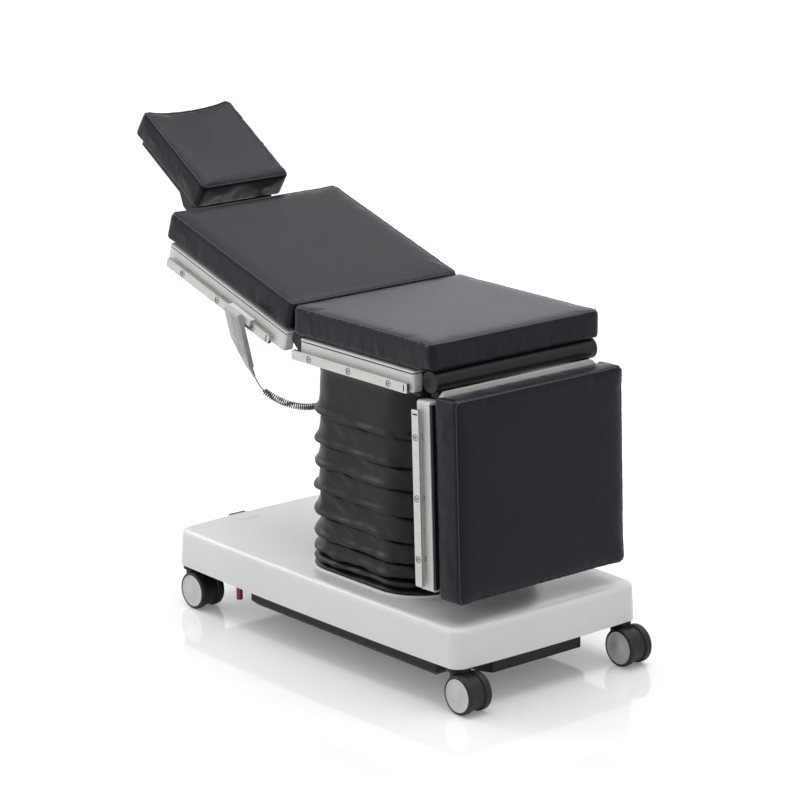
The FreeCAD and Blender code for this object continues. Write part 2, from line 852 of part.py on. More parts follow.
def seat_cushion():
    """The pad of the seat, hollowed below where it lies over the hinge tube."""
    pad = cushion(seat_cushion_head_x, seat_cushion_foot_x, cushion_half_width, cushion_bottom, cushion_thickness)
    hollow = cross_rod(leg_axis_x, leg_axis_height, -beam_outer_y, beam_outer_y, leg_barrel_radius + cushion_gap)
    return moved([pad.cut(hollow)], seat_frame)


def seat_rails():
    return moved(rails(seat_rail_head_x, seat_rail_head_x + rail_length - rail_slot_inset), seat_frame)


def seat_rail_fixings():
    return moved(rail_fixings(seat_rail_head_x), seat_frame)


def seat_hinge_blocks():
    """Black blocks at the head end of the seat, with a round nose about the back section's axis."""
    y0 = hinge_block_inner_y
    y1 = hinge_block_outer_y
    heel_x = seat_beam_head_x - hinge_block_length
    nose_top = back_axis_height + back_nose_radius
    nose_low = Vector(back_axis_x - 0.45 * back_nose_radius, 0, back_axis_height - 0.89 * back_nose_radius)
    outline = [
        (back_axis_x, back_axis_height),
        (nose_low.x, nose_low.z),
        (heel_x, 0),
        (seat_beam_head_x, 0),
        (seat_beam_head_x, nose_top),
        (back_axis_x, nose_top),
    ]
    block = side_profile(outline, y0, y1)
    block = block.fuse(cross_rod(back_axis_x, back_axis_height, y0, y1, back_nose_radius)).removeSplitter()
    block = block.cut(cross_rod(back_axis_x, back_axis_height, y0, y1, back_pin_radius))
    return moved(both_sides([block]), seat_frame)


def hinge_tube():
    """The black tube across the foot end of the seat, about the leg section's axis."""
    half = leg_barrel_inner_y - hinge_side_gap
    tube = cross_rod(leg_axis_x, leg_axis_height, -half, half, leg_barrel_radius)
    shaft_half = leg_barrel_outer_y - 1
    shaft = cross_rod(leg_axis_x, leg_axis_height, -shaft_half, shaft_half, leg_shaft_radius)
    return moved([tube.fuse(shaft).removeSplitter()], seat_frame)


def cord_socket():
    """The round socket on the head end of the seat frame that the handset's cord goes into."""
    end = cord_lead_points[-1]
    start = Vector(seat_beam_head_x, end.y, end.z)
    body = rod(end, start, socket_radius)
    return [body.makeChamfer(2, [edge for edge in body.Edges if abs(edge.CenterOfMass.x - end.x) < 0.01])]


# Back section: x runs from its hinge axis toward the head end, as negative values

back_frame = Placement(Vector(back_axis_x, 0, rail_bottom_z + back_axis_height), Rotation(Vector(0, 1, 0), back_angle))
back_frame = back_frame.multiply(Placement(Vector(0, 0, -back_axis_height), Rotation()))
back_beam_end = back_beam_start + back_beam_length


def back_beams():
    return moved(beams(-back_beam_end, -back_beam_start), back_frame)


def back_crossbars():
    """Cross bars, the hinge lugs inboard of the blocks, and the head section's carriers with their pins."""
    top = beam_height + board_gap
    low = top - back_bar_depth
    bars = []
    for start in (back_crossbar_first, back_crossbar_last):
        bars.append(box(-start - back_crossbar_length, -start, -beam_inner_y, beam_inner_y, low, top))
    lug_y0 = back_lug_inner_y
    lug_y1 = hinge_block_inner_y - hinge_side_gap
    nose = cross_rod(0, back_axis_height, lug_y0, lug_y1, back_nose_radius)
    strap_low = back_axis_height - back_nose_radius
    strap = box(-back_crossbar_first, 0, lug_y0, lug_y1, strap_low, back_axis_height + board_gap)
    web = box(-back_crossbar_first - back_crossbar_length, -2 * back_nose_radius, lug_y0, beam_inner_y, strap_low, top)
    lug = nose.fuse([strap, web]).removeSplitter()
    bore = cross_rod(0, back_axis_height, lug_y0, lug_y1, back_pin_radius + running_clearance)
    lug = lug.cut(bore)
    first = bars[0].fuse(both_sides([lug])).removeSplitter()
    carrier_y0 = head_arm_inner_y + head_arm_thickness + head_arm_gap
    carrier_y1 = carrier_y0 + head_arm_thickness
    x0 = -head_axis_reach
    carrier = box(x0, -back_crossbar_last, carrier_y0, carrier_y1,
                  head_axis_height - head_nose_radius, head_axis_height)
    carrier_nose = cross_rod(x0, head_axis_height, carrier_y0, carrier_y1, head_nose_radius)
    root = box(-back_crossbar_last - back_crossbar_length, -back_crossbar_last, carrier_y0, carrier_y1, low, top)
    pin = cross_rod(x0, head_axis_height, head_arm_inner_y - 3, carrier_y1, head_pin_radius)
    carrier = carrier.fuse([carrier_nose, root, pin]).removeSplitter()
    last = bars[1].fuse(both_sides([carrier])).removeSplitter()
    strips = gap_strips(-back_beam_end, -back_beam_start, top)
    return moved([first, last] + strips, back_frame)


def back_hinge_pins():
    """Pins that are fixed in the seat's hinge blocks and run in the back section's lugs."""
    pin = cross_rod(0, back_axis_height, back_lug_inner_y - 3, hinge_block_outer_y, back_pin_radius)
    return moved(both_sides([pin]), back_frame)


def back_board():
    bottom = beam_height + board_gap
    return moved([board(-back_beam_end, -back_beam_start, beam_outer_y, board_thickness, bottom, 4)], back_frame)


def back_cushion():
    end = back_cushion_start + back_cushion_length
    return moved([cushion(-end, -back_cushion_start, cushion_half_width, cushion_bottom, cushion_thickness)], back_frame)


def back_rails():
    return moved(rails(-back_rail_start - rail_length, -back_rail_start - rail_slot_inset), back_frame)


def back_rail_fixings():
    return moved(rail_fixings(-back_rail_start - rail_length), back_frame)


# Leg section: x runs from its hinge axis toward its free end

leg_frame = Placement(Vector(leg_axis_x, 0, rail_bottom_z + leg_axis_height), Rotation(Vector(0, 1, 0), leg_angle))
leg_frame = leg_frame.multiply(Placement(Vector(0, 0, -leg_axis_height), Rotation()))
leg_board_bottom = beam_height + board_gap + leg_board_lift
leg_reach = (rail_bottom_z + leg_axis_height - cover_top - leg_end_gap) / math.sin(math.radians(leg_angle))
leg_beam_end = leg_reach - leg_beam_setback
leg_board_end = leg_reach - leg_board_setback


def leg_beams():
    return moved(beams(leg_beam_start, leg_beam_end), leg_frame)


def leg_crossbars():
    """Cross bars between the leg beams, and the arms and barrels that turn about the hinge tube."""
    bars = []
    for start in (leg_crossbar_first, leg_crossbar_last):
        bars.append(box(start, start + seat_crossbar_length, -beam_inner_y, beam_inner_y, 8, leg_board_bottom))
    barrel = cross_rod(0, leg_axis_height, leg_barrel_inner_y, leg_barrel_outer_y, leg_barrel_radius)
    low = leg_axis_height - leg_arm_half_height
    high = leg_axis_height + leg_arm_half_height
    arm = box(0, leg_crossbar_first, leg_barrel_inner_y, beam_inner_y, low, high)
    bore = cross_rod(0, leg_axis_height, leg_barrel_inner_y, leg_barrel_outer_y, leg_shaft_radius + running_clearance)
    arm = barrel.fuse(arm).removeSplitter().cut(bore)
    bars[0] = bars[0].fuse(both_sides([arm])).removeSplitter()
    strips = gap_strips(leg_beam_start, leg_beam_end, leg_board_bottom)
    return moved(bars + strips, leg_frame)


def leg_board_solid():
    return board(leg_board_start, leg_board_end, leg_board_half_width,
                 leg_board_thickness, leg_board_bottom, leg_board_chamfer)


def leg_board():
    return moved([leg_board_solid()], leg_frame)


def leg_cushion():
    """The pad of the leg section, with a pocket below that takes its board."""
    pad = cushion(leg_cushion_start, leg_reach, cushion_half_width,
                  leg_board_bottom + leg_cushion_lift, leg_cushion_thickness)
    pocket = board(leg_board_start - cushion_gap, leg_board_end + cushion_gap,
                   leg_board_half_width + cushion_gap, leg_board_thickness + cushion_gap,
                   leg_board_bottom, leg_board_chamfer)
    return moved([pad.cut(pocket)], leg_frame)


def leg_rails():
    return moved(rails(leg_rail_start, leg_rail_start + rail_slot_inset), leg_frame)


def leg_rail_fixings():
    return moved(rail_fixings(leg_rail_start), leg_frame)


# Head section: x runs from its hinge axis toward the head end, as negative values

head_frame = back_frame.multiply(Placement(Vector(-head_axis_reach, 0, head_axis_height),
                                           Rotation(Vector(0, 1, 0), head_angle)))


def head_board():
    x0 = -head_cushion_start - head_cushion_length + head_board_start
    return moved([board(x0, -head_board_start, head_board_half_width, head_board_thickness,
                        head_board_lift, 20)], head_frame)


def head_arms():
    """Two gusset arms under the head board, which turn on the carriers' pins."""
    outline = [
        (0, -head_nose_radius),
        (-head_arm_knee_x, -head_arm_knee_drop),
        (-head_arm_reach, head_board_lift),
        (-head_board_start, head_board_lift),
        (0, head_nose_radius),
    ]
    y1 = head_arm_inner_y + head_arm_thickness
    arm = side_profile(outline, head_arm_inner_y, y1)
    arm = arm.fuse(cross_rod(0, 0, head_arm_inner_y, y1, head_nose_radius)).removeSplitter()
    arm = arm.cut(cross_rod(0, 0, head_arm_inner_y, y1, head_pin_radius + running_clearance))
    return moved(both_sides([arm]), head_frame)


def head_cushion():
    """The head pad, whose top is dished across its width and straightens toward its foot end."""
    bottom = head_board_lift + head_board_thickness + cushion_gap
    top = bottom + cushion_thickness
    x0 = -head_cushion_start - head_cushion_length
    x1 = -head_cushion_start
    pad = cushion(x0, x1, head_cushion_half_width, bottom, cushion_thickness)
    wires = []
    for x, dish in ((x0 - 1, head_cushion_dish), (x1 + 1, 0.5)):
        left = Vector(x, -head_cushion_half_width, top)
        middle = Vector(x, 0, top - dish)
        right = Vector(x, head_cushion_half_width, top)
        arc = Part.Arc(left, middle, right).toShape()
        lid = Part.makePolygon([right, right + Vector(0, 0, 20), left + Vector(0, 0, 20), left])
        wires.append(Part.Wire([arc] + lid.Edges))
    return moved([pad.cut(Part.makeLoft(wires, True, True))], head_frame)


# Handset and its cord

def handset_frame():
    """Local x across the handset, y into the table, z up along it, with the origin at its top."""
    up = handset_down * -1
    across = handset_across - up * handset_across.dot(up)
    across.normalize()
    inward = up.cross(across)
    inward.normalize()
    matrix = FreeCAD.Matrix(across.x, inward.x, up.x, handset_top_x,
                            across.y, inward.y, up.y, handset_top_y,
                            across.z, inward.z, up.z, handset_top_z)
    return Placement(matrix)


def handset():
    """A slim case that narrows toward the cord, with rounded edges."""
    half = handset_width / 2
    end = handset_end_width / 2
    length = handset_length
    taper = -handset_taper_share * length
    outline = [(-half, 0), (-half, taper), (half - 2 * end, -length), (half, -length), (half, 0)]
    corners = [Vector(x, 0, z) for x, z in outline]
    face = Part.Face(Part.makePolygon(corners + corners[:1]))
    case = face.extrude(Vector(0, handset_thickness, 0))
    case = case.makeFillet(3, case.Edges)
    return moved([case], handset_frame())


def cord_gland():
    """The tapered strain relief between the handset and its cord."""
    bottom = handset_frame().multVec(Vector(handset_width / 2 - handset_end_width / 2, handset_thickness / 2,
                                            -handset_length))
    end = cord_tail_points[0]
    along = end - bottom
    cone = Part.makeCone(gland_radius, wire_diameter / 2 + 0.8, along.Length, bottom, along)
    return [cone.cut(handset()[0]).cut(tail_tube)]


def handset_hook():
    """The hook over the rail's top edge, with a pad that the handset's back lies against."""
    x1 = -hook_start
    x0 = x1 - hook_length
    outer_y = rail_outer_y + hook_gap + hook_wall
    inner_y = rail_inner_y - hook_gap - hook_wall
    top = rail_height + hook_gap + hook_wall
    low = rail_height - hook_depth
    shell = box(x0, x1, -outer_y, -inner_y, low, top)
    slot = box(x0, x1, -rail_outer_y - hook_gap, -rail_inner_y + hook_gap, low, rail_height + hook_gap)
    pad_x0 = -hook_pad_start - hook_pad_length
    pad = box(pad_x0, -hook_pad_start, -outer_y - hook_pad_reach, -outer_y, low, top)
    hook = shell.cut(slot).fuse(pad).removeSplitter()
    return [moved([hook], back_frame)[0].cut(handset()[0])]


def tangent_path(points):
    """Straight runs joined by tangent arcs, each arc as large as its two runs allow."""
    edges = []
    radii = []
    start = points[0]
    for index in range(1, len(points) - 1):
        before = points[index] - points[index - 1]
        after = points[index + 1] - points[index]
        turn = before.getAngle(after)
        shorter = min(before.Length, after.Length)
        cut_back = 0.45 * shorter
        radius = cut_back / math.tan(turn / 2)
        radii.append(radius)
        arc_start = points[index] - before.normalize() * cut_back
        arc_end = points[index] + after.normalize() * cut_back
        inward = (arc_start + arc_end) * 0.5 - points[index]
        centre = points[index] + inward.normalize() * (radius / math.cos(turn / 2))
        middle = centre + (points[index] - centre).normalize() * radius
        edges.append(Part.LineSegment(start, arc_start).toShape())
        edges.append(Part.Arc(arc_start, middle, arc_end).toShape())
        start = arc_end
    edges.append(Part.LineSegment(start, points[-1]).toShape())
    return Part.Wire(edges), radii


def cord_tube(name, points, diameter):
    path, radii = tangent_path(points)
    direction = points[1] - points[0]
    section = Part.Wire(Part.makeCircle(diameter / 2, points[0], direction))
    tube = path.makePipeShell([section], True, False, 2)
    expected = math.pi * diameter ** 2 / 4 * path.Length
    print(name, "length", round(path.Length, 1), "radii", [round(radius) for radius in radii],
          "volume ratio", round(tube.Volume / expected, 4))
    return tube


coil_tube = cord_tube("cord coil", cord_coil_points, coil_diameter)
tail_tube = cord_tube("cord tail", cord_tail_points, wire_diameter).cut(coil_tube)
lead_tube = cord_tube("cord lead", cord_lead_points, wire_diameter).cut(coil_tube)


def handset_cord_ends():
    """The two straight ends of the cord: one at the handset, one at the socket."""
    return [tail_tube, lead_tube]


def handset_cord_coil():
    return [coil_tube]


def all_nodes():
    nodes = {}
    makers = [
        base_cover, chassis_plate, chassis_tray, drive_unit, inlet_cap, brake_lever, brake_peg,
        column_outer, column_middle, column_inner, lift_cylinder, lift_rod, trend_shaft, tilt_yoke,
        roll_shaft, gaiter, gaiter_plate,
        seat_beams, seat_crossbars, seat_under_plate, seat_board, seat_cushion, seat_rails,
        seat_rail_fixings, seat_hinge_blocks, hinge_tube, cord_socket,
        back_beams, back_crossbars, back_hinge_pins, back_board, back_cushion, back_rails,
        back_rail_fixings, handset, handset_hook, cord_gland,
        handset_cord_ends, handset_cord_coil,
        leg_beams, leg_crossbars, leg_board, leg_cushion, leg_rails, leg_rail_fixings,
        head_board, head_arms, head_cushion,
    ]
    for maker in makers:
        nodes[maker.__name__] = maker()
    for number, (x, y) in enumerate(castor_places(), start=1):
        nodes["castor_fork_" + str(number)] = castor_fork(x, y)
        nodes["castor_wheel_" + str(number) + "_near"] = castor_wheel(x, y, -1)
        nodes["castor_wheel_" + str(number) + "_far"] = castor_wheel(x, y, 1)
    return nodes


os.makedirs("parts", exist_ok=True)
for name, solids in all_nodes().items():
    shape = solids[0] if len(solids) == 1 else Part.makeCompound(solids)
    if not shape.isValid():
        print("not valid:", name)
    shape.exportStep("parts/" + name + ".step")
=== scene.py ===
# %% [markdown]
# An operating table stands on a pale studio floor. Its metal frame, covers, rails and hinges
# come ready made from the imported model, which is the frame of this scene. What Blender adds are
# the soft pads, the folded gaiter round the column, the wheels and the curly cord, and a finish
# for every surface.

# %% Load the frame
import json
import math

import bmesh
import bpy
import numpy as np
from mathutils import Matrix, Vector


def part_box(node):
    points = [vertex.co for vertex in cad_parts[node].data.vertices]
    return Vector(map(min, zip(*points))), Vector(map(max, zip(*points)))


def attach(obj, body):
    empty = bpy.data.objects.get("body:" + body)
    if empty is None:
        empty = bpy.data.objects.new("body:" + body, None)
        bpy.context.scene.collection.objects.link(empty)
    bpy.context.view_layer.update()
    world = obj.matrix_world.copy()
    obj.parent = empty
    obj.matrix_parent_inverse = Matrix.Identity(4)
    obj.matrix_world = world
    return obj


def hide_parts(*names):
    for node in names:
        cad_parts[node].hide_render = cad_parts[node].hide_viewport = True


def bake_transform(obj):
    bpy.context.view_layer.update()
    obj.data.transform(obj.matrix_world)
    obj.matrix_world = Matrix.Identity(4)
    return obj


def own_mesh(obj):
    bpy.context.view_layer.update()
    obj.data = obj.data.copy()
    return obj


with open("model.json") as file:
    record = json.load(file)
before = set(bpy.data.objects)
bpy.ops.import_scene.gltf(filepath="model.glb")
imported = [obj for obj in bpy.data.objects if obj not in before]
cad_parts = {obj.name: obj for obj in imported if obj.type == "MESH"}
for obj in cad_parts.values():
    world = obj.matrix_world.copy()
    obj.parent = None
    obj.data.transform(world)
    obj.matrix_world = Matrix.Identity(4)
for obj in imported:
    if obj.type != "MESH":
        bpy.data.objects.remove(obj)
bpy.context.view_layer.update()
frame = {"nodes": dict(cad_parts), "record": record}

# Blender counts in metres, and MM turns a size in millimetres into metres
MM = 0.001

# %% [markdown]
# The camera comes first, because everything is judged through it. It stands well back with a long
# lens, a little above the table top and round toward the foot end, so the long sides run nearly
# parallel in the picture.

# %% Camera
CAMERA_PLACE = (6.6142, -5.5049, 2.9243)
CAMERA_AZIMUTH = 49.56
CAMERA_ELEVATION = 15.14
CAMERA_LENS = 152.8

bpy.ops.object.camera_add(
    location=CAMERA_PLACE,
    rotation=(math.radians(90 - CAMERA_ELEVATION), 0, math.radians(CAMERA_AZIMUTH)),
)
camera = bpy.context.object
camera.data.lens = CAMERA_LENS
camera.data.sensor_width = 36
bpy.context.scene.camera = camera
print("camera at", CAMERA_PLACE, "lens", CAMERA_LENS)

# %% [markdown]
# Colours are written as the hex values that a paint card would give, so one function turns them
# into the linear numbers that a shader needs. A second small function adds a node, sets its
# values and links its inputs, and every material below is made with it.

# %% Colour and node helpers
def paint(hex_colour):
    parts = [int(hex_colour[index:index + 2], 16) / 255 for index in (1, 3, 5)]
    linear = [part / 12.92 if part <= 0.04045 else ((part + 0.055) / 1.055) ** 2.4 for part in parts]
    return (*linear, 1)


def add_node(tree, kind, values=None, links=None, **settings):
    node = tree.nodes.new(kind)
    for name, value in settings.items():
        setattr(node, name, value)
    for name, value in (values or {}).items():
        node.inputs[name].default_value = value
    for name, (source, output) in (links or {}).items():
        tree.links.new(source.outputs[output], node.inputs[name])
    return node


def new_material(name, colour, roughness, **values):
    """A material with its one shader, whose constant values sit on the shader's own sockets."""
    material = bpy.data.materials.new(name)
    material.use_nodes = True
    shader = material.node_tree.nodes["Principled BSDF"]
    shader.inputs["Base Color"].default_value = paint(colour)
    shader.inputs["Roughness"].default_value = roughness
    for socket, value in values.items():
        shader.inputs[socket.replace("_", " ")].default_value = value
    material.diffuse_color = paint(colour)
    return material, material.node_tree, shader


def feed(tree, shader, socket, node, output):
    tree.links.new(node.outputs[output], shader.inputs[socket])


print("paint('#808080') is", round(paint("#808080")[0], 3))

# %% [markdown]
# Most surfaces need two patterns: a fine one that the fingers would feel, which goes to the bump,
# and a broad one that the eye sees as slight wear, which goes to colour and roughness. Both are
# noise on the object's own coordinates, sized in millimetres.

# %% Pattern helpers
WEAR_DARK_END = 0.3
WEAR_LIGHT_END = 0.7


def noise(tree, size_mm, detail=2.0, stretch=(1, 1, 1)):
    place = add_node(tree, "ShaderNodeTexCoord")
    turned = add_node(tree, "ShaderNodeMapping", {"Scale": stretch}, {"Vector": (place, "Object")})
    return add_node(tree, "ShaderNodeTexNoise", {"Scale": 1000 / size_mm, "Detail": detail},
                    {"Vector": (turned, "Vector")})


def add_grain(tree, shader, pattern, depth_mm, strength):
    bump = add_node(tree, "ShaderNodeBump", {"Distance": depth_mm * MM, "Strength": strength},
                    {"Height": (pattern, "Fac")})
    feed(tree, shader, "Normal", bump, "Normal")


def add_wear(tree, shader, pattern, dark, light, rough_low, rough_high):
    """Blends two close colours and two close roughness values by the same broad pattern."""
    colours = add_node(tree, "ShaderNodeValToRGB", links={"Fac": (pattern, "Fac")})
    colours.color_ramp.elements[0].position = WEAR_DARK_END
    colours.color_ramp.elements[1].position = WEAR_LIGHT_END
    colours.color_ramp.elements[0].color = paint(dark)
    colours.color_ramp.elements[1].color = paint(light)
    feed(tree, shader, "Base Color", colours, "Color")
    rough = add_node(tree, "ShaderNodeMapRange", {"To Min": rough_low, "To Max": rough_high},
                     {"Value": (pattern, "Fac")})
    feed(tree, shader, "Roughness", rough, "Result")


print("pattern helpers ready")

# %% [markdown]
# The table stands in a white studio. A wide soft lamp hangs over it, a smaller one shines from
# beyond the head end, a weak one stands on the near side, and the sky fills the shadows. A picture
# of a room could light it too, but plain lamps keep the colours as they are written. Rays from the
# camera, and rays that a shiny or clear surface sends on, see a plain white instead of the lit sky,
# so white is what the metal mirrors.

# %% Studio
def sees_white(tree):
    """One for camera, mirror and glass rays, and zero for the rays that light things."""
    path = add_node(tree, "ShaderNodeLightPath")
    first = add_node(tree, "ShaderNodeMath", operation="MAXIMUM",
                     links={0: (path, "Is Camera Ray"), 1: (path, "Is Glossy Ray")})
    return add_node(tree, "ShaderNodeMath", operation="MAXIMUM",
                    links={0: (first, 0), 1: (path, "Is Transmission Ray")})


SKY_LIGHT = 0.66
bpy.context.scene.view_settings.view_transform = "Standard"
world = bpy.data.worlds.new("studio sky")
world.use_nodes = True
bpy.context.scene.world = world
tree = world.node_tree
lit = tree.nodes["Background"]
lit.inputs["Color"].default_value = (1, 1, 1, 1)
lit.inputs["Strength"].default_value = SKY_LIGHT
white = add_node(tree, "ShaderNodeBackground", {"Color": (1, 1, 1, 1), "Strength": 1.0})
mix = add_node(tree, "ShaderNodeMixShader",
               links={0: (sees_white(tree), 0), 1: (lit, 0), 2: (white, 0)})
tree.links.new(mix.outputs[0], tree.nodes["World Output"].inputs["Surface"])


def soft_lamp(name, place, target, size, watts):
    bpy.ops.object.light_add(type="AREA", location=place)
    lamp = bpy.context.object
    lamp.name = name
    lamp.data.shape = "SQUARE"
    lamp.data.size = size
    lamp.data.energy = watts
    lamp.rotation_euler = (Vector(target) - Vector(place)).to_track_quat("-Z", "Y").to_euler()


soft_lamp("overhead lamp", (0.2, 0.5, 4.2), (0.1, 0, 0.8), size=4.0, watts=118)
soft_lamp("head end lamp", (-4.0, -1.2, 3.0), (-0.3, 0, 0.3), size=2.6, watts=72)
soft_lamp("side lamp", (-2.2, -4.4, 1.9), (0, 0, 0.5), size=3.0, watts=22)

# %% [markdown]
# The floor is a polished white board. A soft glow makes it plain white to the camera while the
# table's shadow stays on it. The glow grows away from the table, where less lamp light falls, and
# the polish shows a faint upside-down table, strongest at the castors.

# %% Floor
FLOOR_SIZE = 60
NEAR_GLOW = 0.15
FAR_GLOW = 0.42
GLOW_STARTS = 1.5
GLOW_ENDS = 7.0
bpy.ops.object.select_all(action="DESELECT")
bpy.ops.mesh.primitive_plane_add(size=FLOOR_SIZE)
floor = bpy.context.object
floor.name = "floor"
material, tree, shader = new_material("polished white floor board", "#ececec", 0.06,
                                      Specular_IOR_Level=0.4)
polish = add_node(tree, "ShaderNodeMapRange", {"To Min": 0.05, "To Max": 0.08},
                  {"Value": (noise(tree, size_mm=900), "Fac")})
feed(tree, shader, "Roughness", polish, "Result")
shader.inputs["Emission Color"].default_value = (1, 1, 1, 1)
place = add_node(tree, "ShaderNodeTexCoord")
away = add_node(tree, "ShaderNodeVectorMath", links={0: (place, "Object")}, operation="LENGTH")
strength = add_node(tree, "ShaderNodeMapRange",
                    {"From Min": GLOW_STARTS, "From Max": GLOW_ENDS,
                     "To Min": NEAR_GLOW, "To Max": FAR_GLOW}, {"Value": (away, "Value")})
glow = add_node(tree, "ShaderNodeMath", links={0: (sees_white(tree), 0), 1: (strength, "Result")},
                operation="MULTIPLY")
feed(tree, shader, "Emission Strength", glow, 0)
floor.data.materials.append(material)
print("floor", FLOOR_SIZE, "m, glow", NEAR_GLOW, "to", FAR_GLOW)

# %% [markdown]
# Upholstery on such a table is foam in a cover of polyurethane coated cloth, welded so that it can
# be wiped clean. The coating is black with a soft satin gloss, and a fine pressed grain breaks the
# reflections up. The real grain is under a millimetre and too fine to show, so it is drawn coarser.
# The gaiter's cloth is thinner and duller.

# %% Soft materials
GRAIN_MM = 2.4
upholstery, tree, shader = new_material("black coated upholstery", "#151618", 0.3, Specular_IOR_Level=0.18,
                                        Specular_Tint=paint("#e0e5f6"), Sheen_Weight=0.2,
                                        Sheen_Roughness=0.35, Sheen_Tint=paint("#dde4f8"))
add_wear(tree, shader, noise(tree, size_mm=160, detail=3), "#111214", "#151618", 0.26, 0.32)
add_grain(tree, shader, noise(tree, GRAIN_MM, detail=3), depth_mm=0.1, strength=0.3)

bead_cloth, tree, shader = new_material("black welded seam", "#1c1d20", 0.34, Specular_IOR_Level=0.5)
add_grain(tree, shader, noise(tree, size_mm=1.6), depth_mm=0.1, strength=0.4)

gaiter_cloth, tree, shader = new_material("black gaiter cloth", "#101113", 0.4, Specular_IOR_Level=0.22)
add_wear(tree, shader, noise(tree, size_mm=90, detail=3), "#0e0f11", "#121316", 0.35, 0.42)
add_grain(tree, shader, noise(tree, size_mm=3.0), depth_mm=0.1, strength=0.25)
print("soft materials:", upholstery.name, bead_cloth.name, gaiter_cloth.name)

# %% [markdown]
# The base cover is a vacuum formed plastic with a pale grey gel coat: glossy, but with the long
# waves of a large moulding. The beams have a pale powder coat, whose tiny beads give a satin
# surface; they are drawn coarser than real ones, so that they show. Boards are a pale laminate, and
# black steel parts are powder coated too. Painted, coated and moulded surfaces differ only in the
# size and depth of their patterns, so one function makes them all.

# %% Painted and moulded materials
GLOSSIER = 0.04
DULLER = 0.05
gel_coat, tree, shader = new_material("pale grey gel coat", "#d6d6d7", 0.28, Coat_Weight=0.25,
                                      Coat_Roughness=0.12)
add_wear(tree, shader, noise(tree, size_mm=320), "#d3d3d4", "#d9d9da", 0.25, 0.32)
add_grain(tree, shader, noise(tree, size_mm=45, detail=1), depth_mm=0.25, strength=0.08)


def even_finish(name, colour, dark, light, roughness, wear_mm, grain_mm, strength, **values):
    material, tree, shader = new_material(name, colour, roughness, **values)
    add_wear(tree, shader, noise(tree, wear_mm), dark, light, roughness - GLOSSIER, roughness + DULLER)
    add_grain(tree, shader, noise(tree, grain_mm, detail=1), depth_mm=0.05, strength=strength)
    return material


def powder_coat(*look, **values):
    return even_finish(*look, wear_mm=70, grain_mm=1.5, strength=0.25, **values)


pale_coat = powder_coat("pale grey powder coat", "#d4d4d4", "#d1d1d1", "#d7d7d7", 0.36)
black_coat = powder_coat("black powder coat", "#161718", "#141415", "#191a1b", 0.4,
                         Specular_IOR_Level=0.25)
column_coat = powder_coat("grey column paint", "#a9abae", "#a5a7aa", "#adafb2", 0.34)
laminate = powder_coat("pale board laminate", "#d2d2d0", "#cecfcd", "#d6d6d4", 0.4)
print("painted materials ready")

# %% [markdown]
# Side rails are bright stainless bar, brushed along its length, so their highlights are long
# streaks, drawn coarser than real brush lines. Shafts and rods are ground and plated, with no
# streaks. Metals keep the default IOR, and only colour and roughness tell them apart.

# %% Metal materials
BRUSH_MM = 2.0
BRUSH_STRETCH = (0.03, 1, 1)
rail_steel, tree, shader = new_material("brushed stainless steel", "#b7b5b2", 0.3, Metallic=1.0)
add_wear(tree, shader, noise(tree, BRUSH_MM, stretch=BRUSH_STRETCH), "#b0aeab", "#bebcb9", 0.24, 0.36)

plated_steel, tree, shader = new_material("ground plated steel", "#a6a6a9", 0.14, Metallic=1.0)
add_wear(tree, shader, noise(tree, size_mm=30), "#a2a2a5", "#ababae", 0.11, 0.18)
print("metal materials ready")

# %% [markdown]
# The castors have tyres and forks of slate grey polyurethane and nylon, and pale discs. The handset is a
# pale grey ABS case on a white hook, its cord has a dark grey jacket, and the foot peg of the brake is
# red. A mould's fine spark grain makes them all satin. The dark grey at the rail screws is painted shadow:
# the shade at the edge of each countersink and inside each socket, drawn as a dark satin moulding.

# %% Plastic materials
def moulded(*look, **values):
    return even_finish(*look, wear_mm=55, grain_mm=1.4, strength=0.3, **values)


tyre_rubber = moulded("slate grey tyre polyurethane", "#1f2125", "#1c1e21", "#232528", 0.5,
                      Specular_IOR_Level=0.3)
fork_nylon = moulded("slate grey nylon", "#1c1e21", "#1a1c1f", "#202225", 0.45,
                     Specular_IOR_Level=0.3)
disc_plastic = moulded("pale grey disc plastic", "#c4c4c4", "#c0c0c0", "#c8c8c8", 0.36)
handset_plastic = moulded("grey handset plastic", "#a8a8aa", "#a5a5a7", "#acacae", 0.36)
key_plastic = moulded("light grey key plastic", "#a7a8ab", "#a3a4a7", "#abacaf", 0.34)
key_panel_film = moulded("grey key panel film", "#949597", "#919294", "#98999b", 0.34)
hook_plastic = moulded("white hook plastic", "#e4e4e2", "#e0e0de", "#e7e7e5", 0.34)
cord_jacket = moulded("grey cord jacket", "#66676b", "#616266", "#6b6c70", 0.34)
red_plastic = moulded("red peg plastic", "#8c1a1c", "#82181a", "#961d1f", 0.35)
# Painted shade: a dark grey that stands for the shadow in the rail screws' countersinks and sockets
painted_screw_shade = moulded("painted screw shade", "#3a3a3c", "#363638", "#3e3e40", 0.4)
print("plastic materials ready")

# %% [markdown]
# The solids keep their own meshes and only get a material. A list per finish is easier to check
# than a line per piece, and any solid that it leaves out is covered by a piece of the scene.

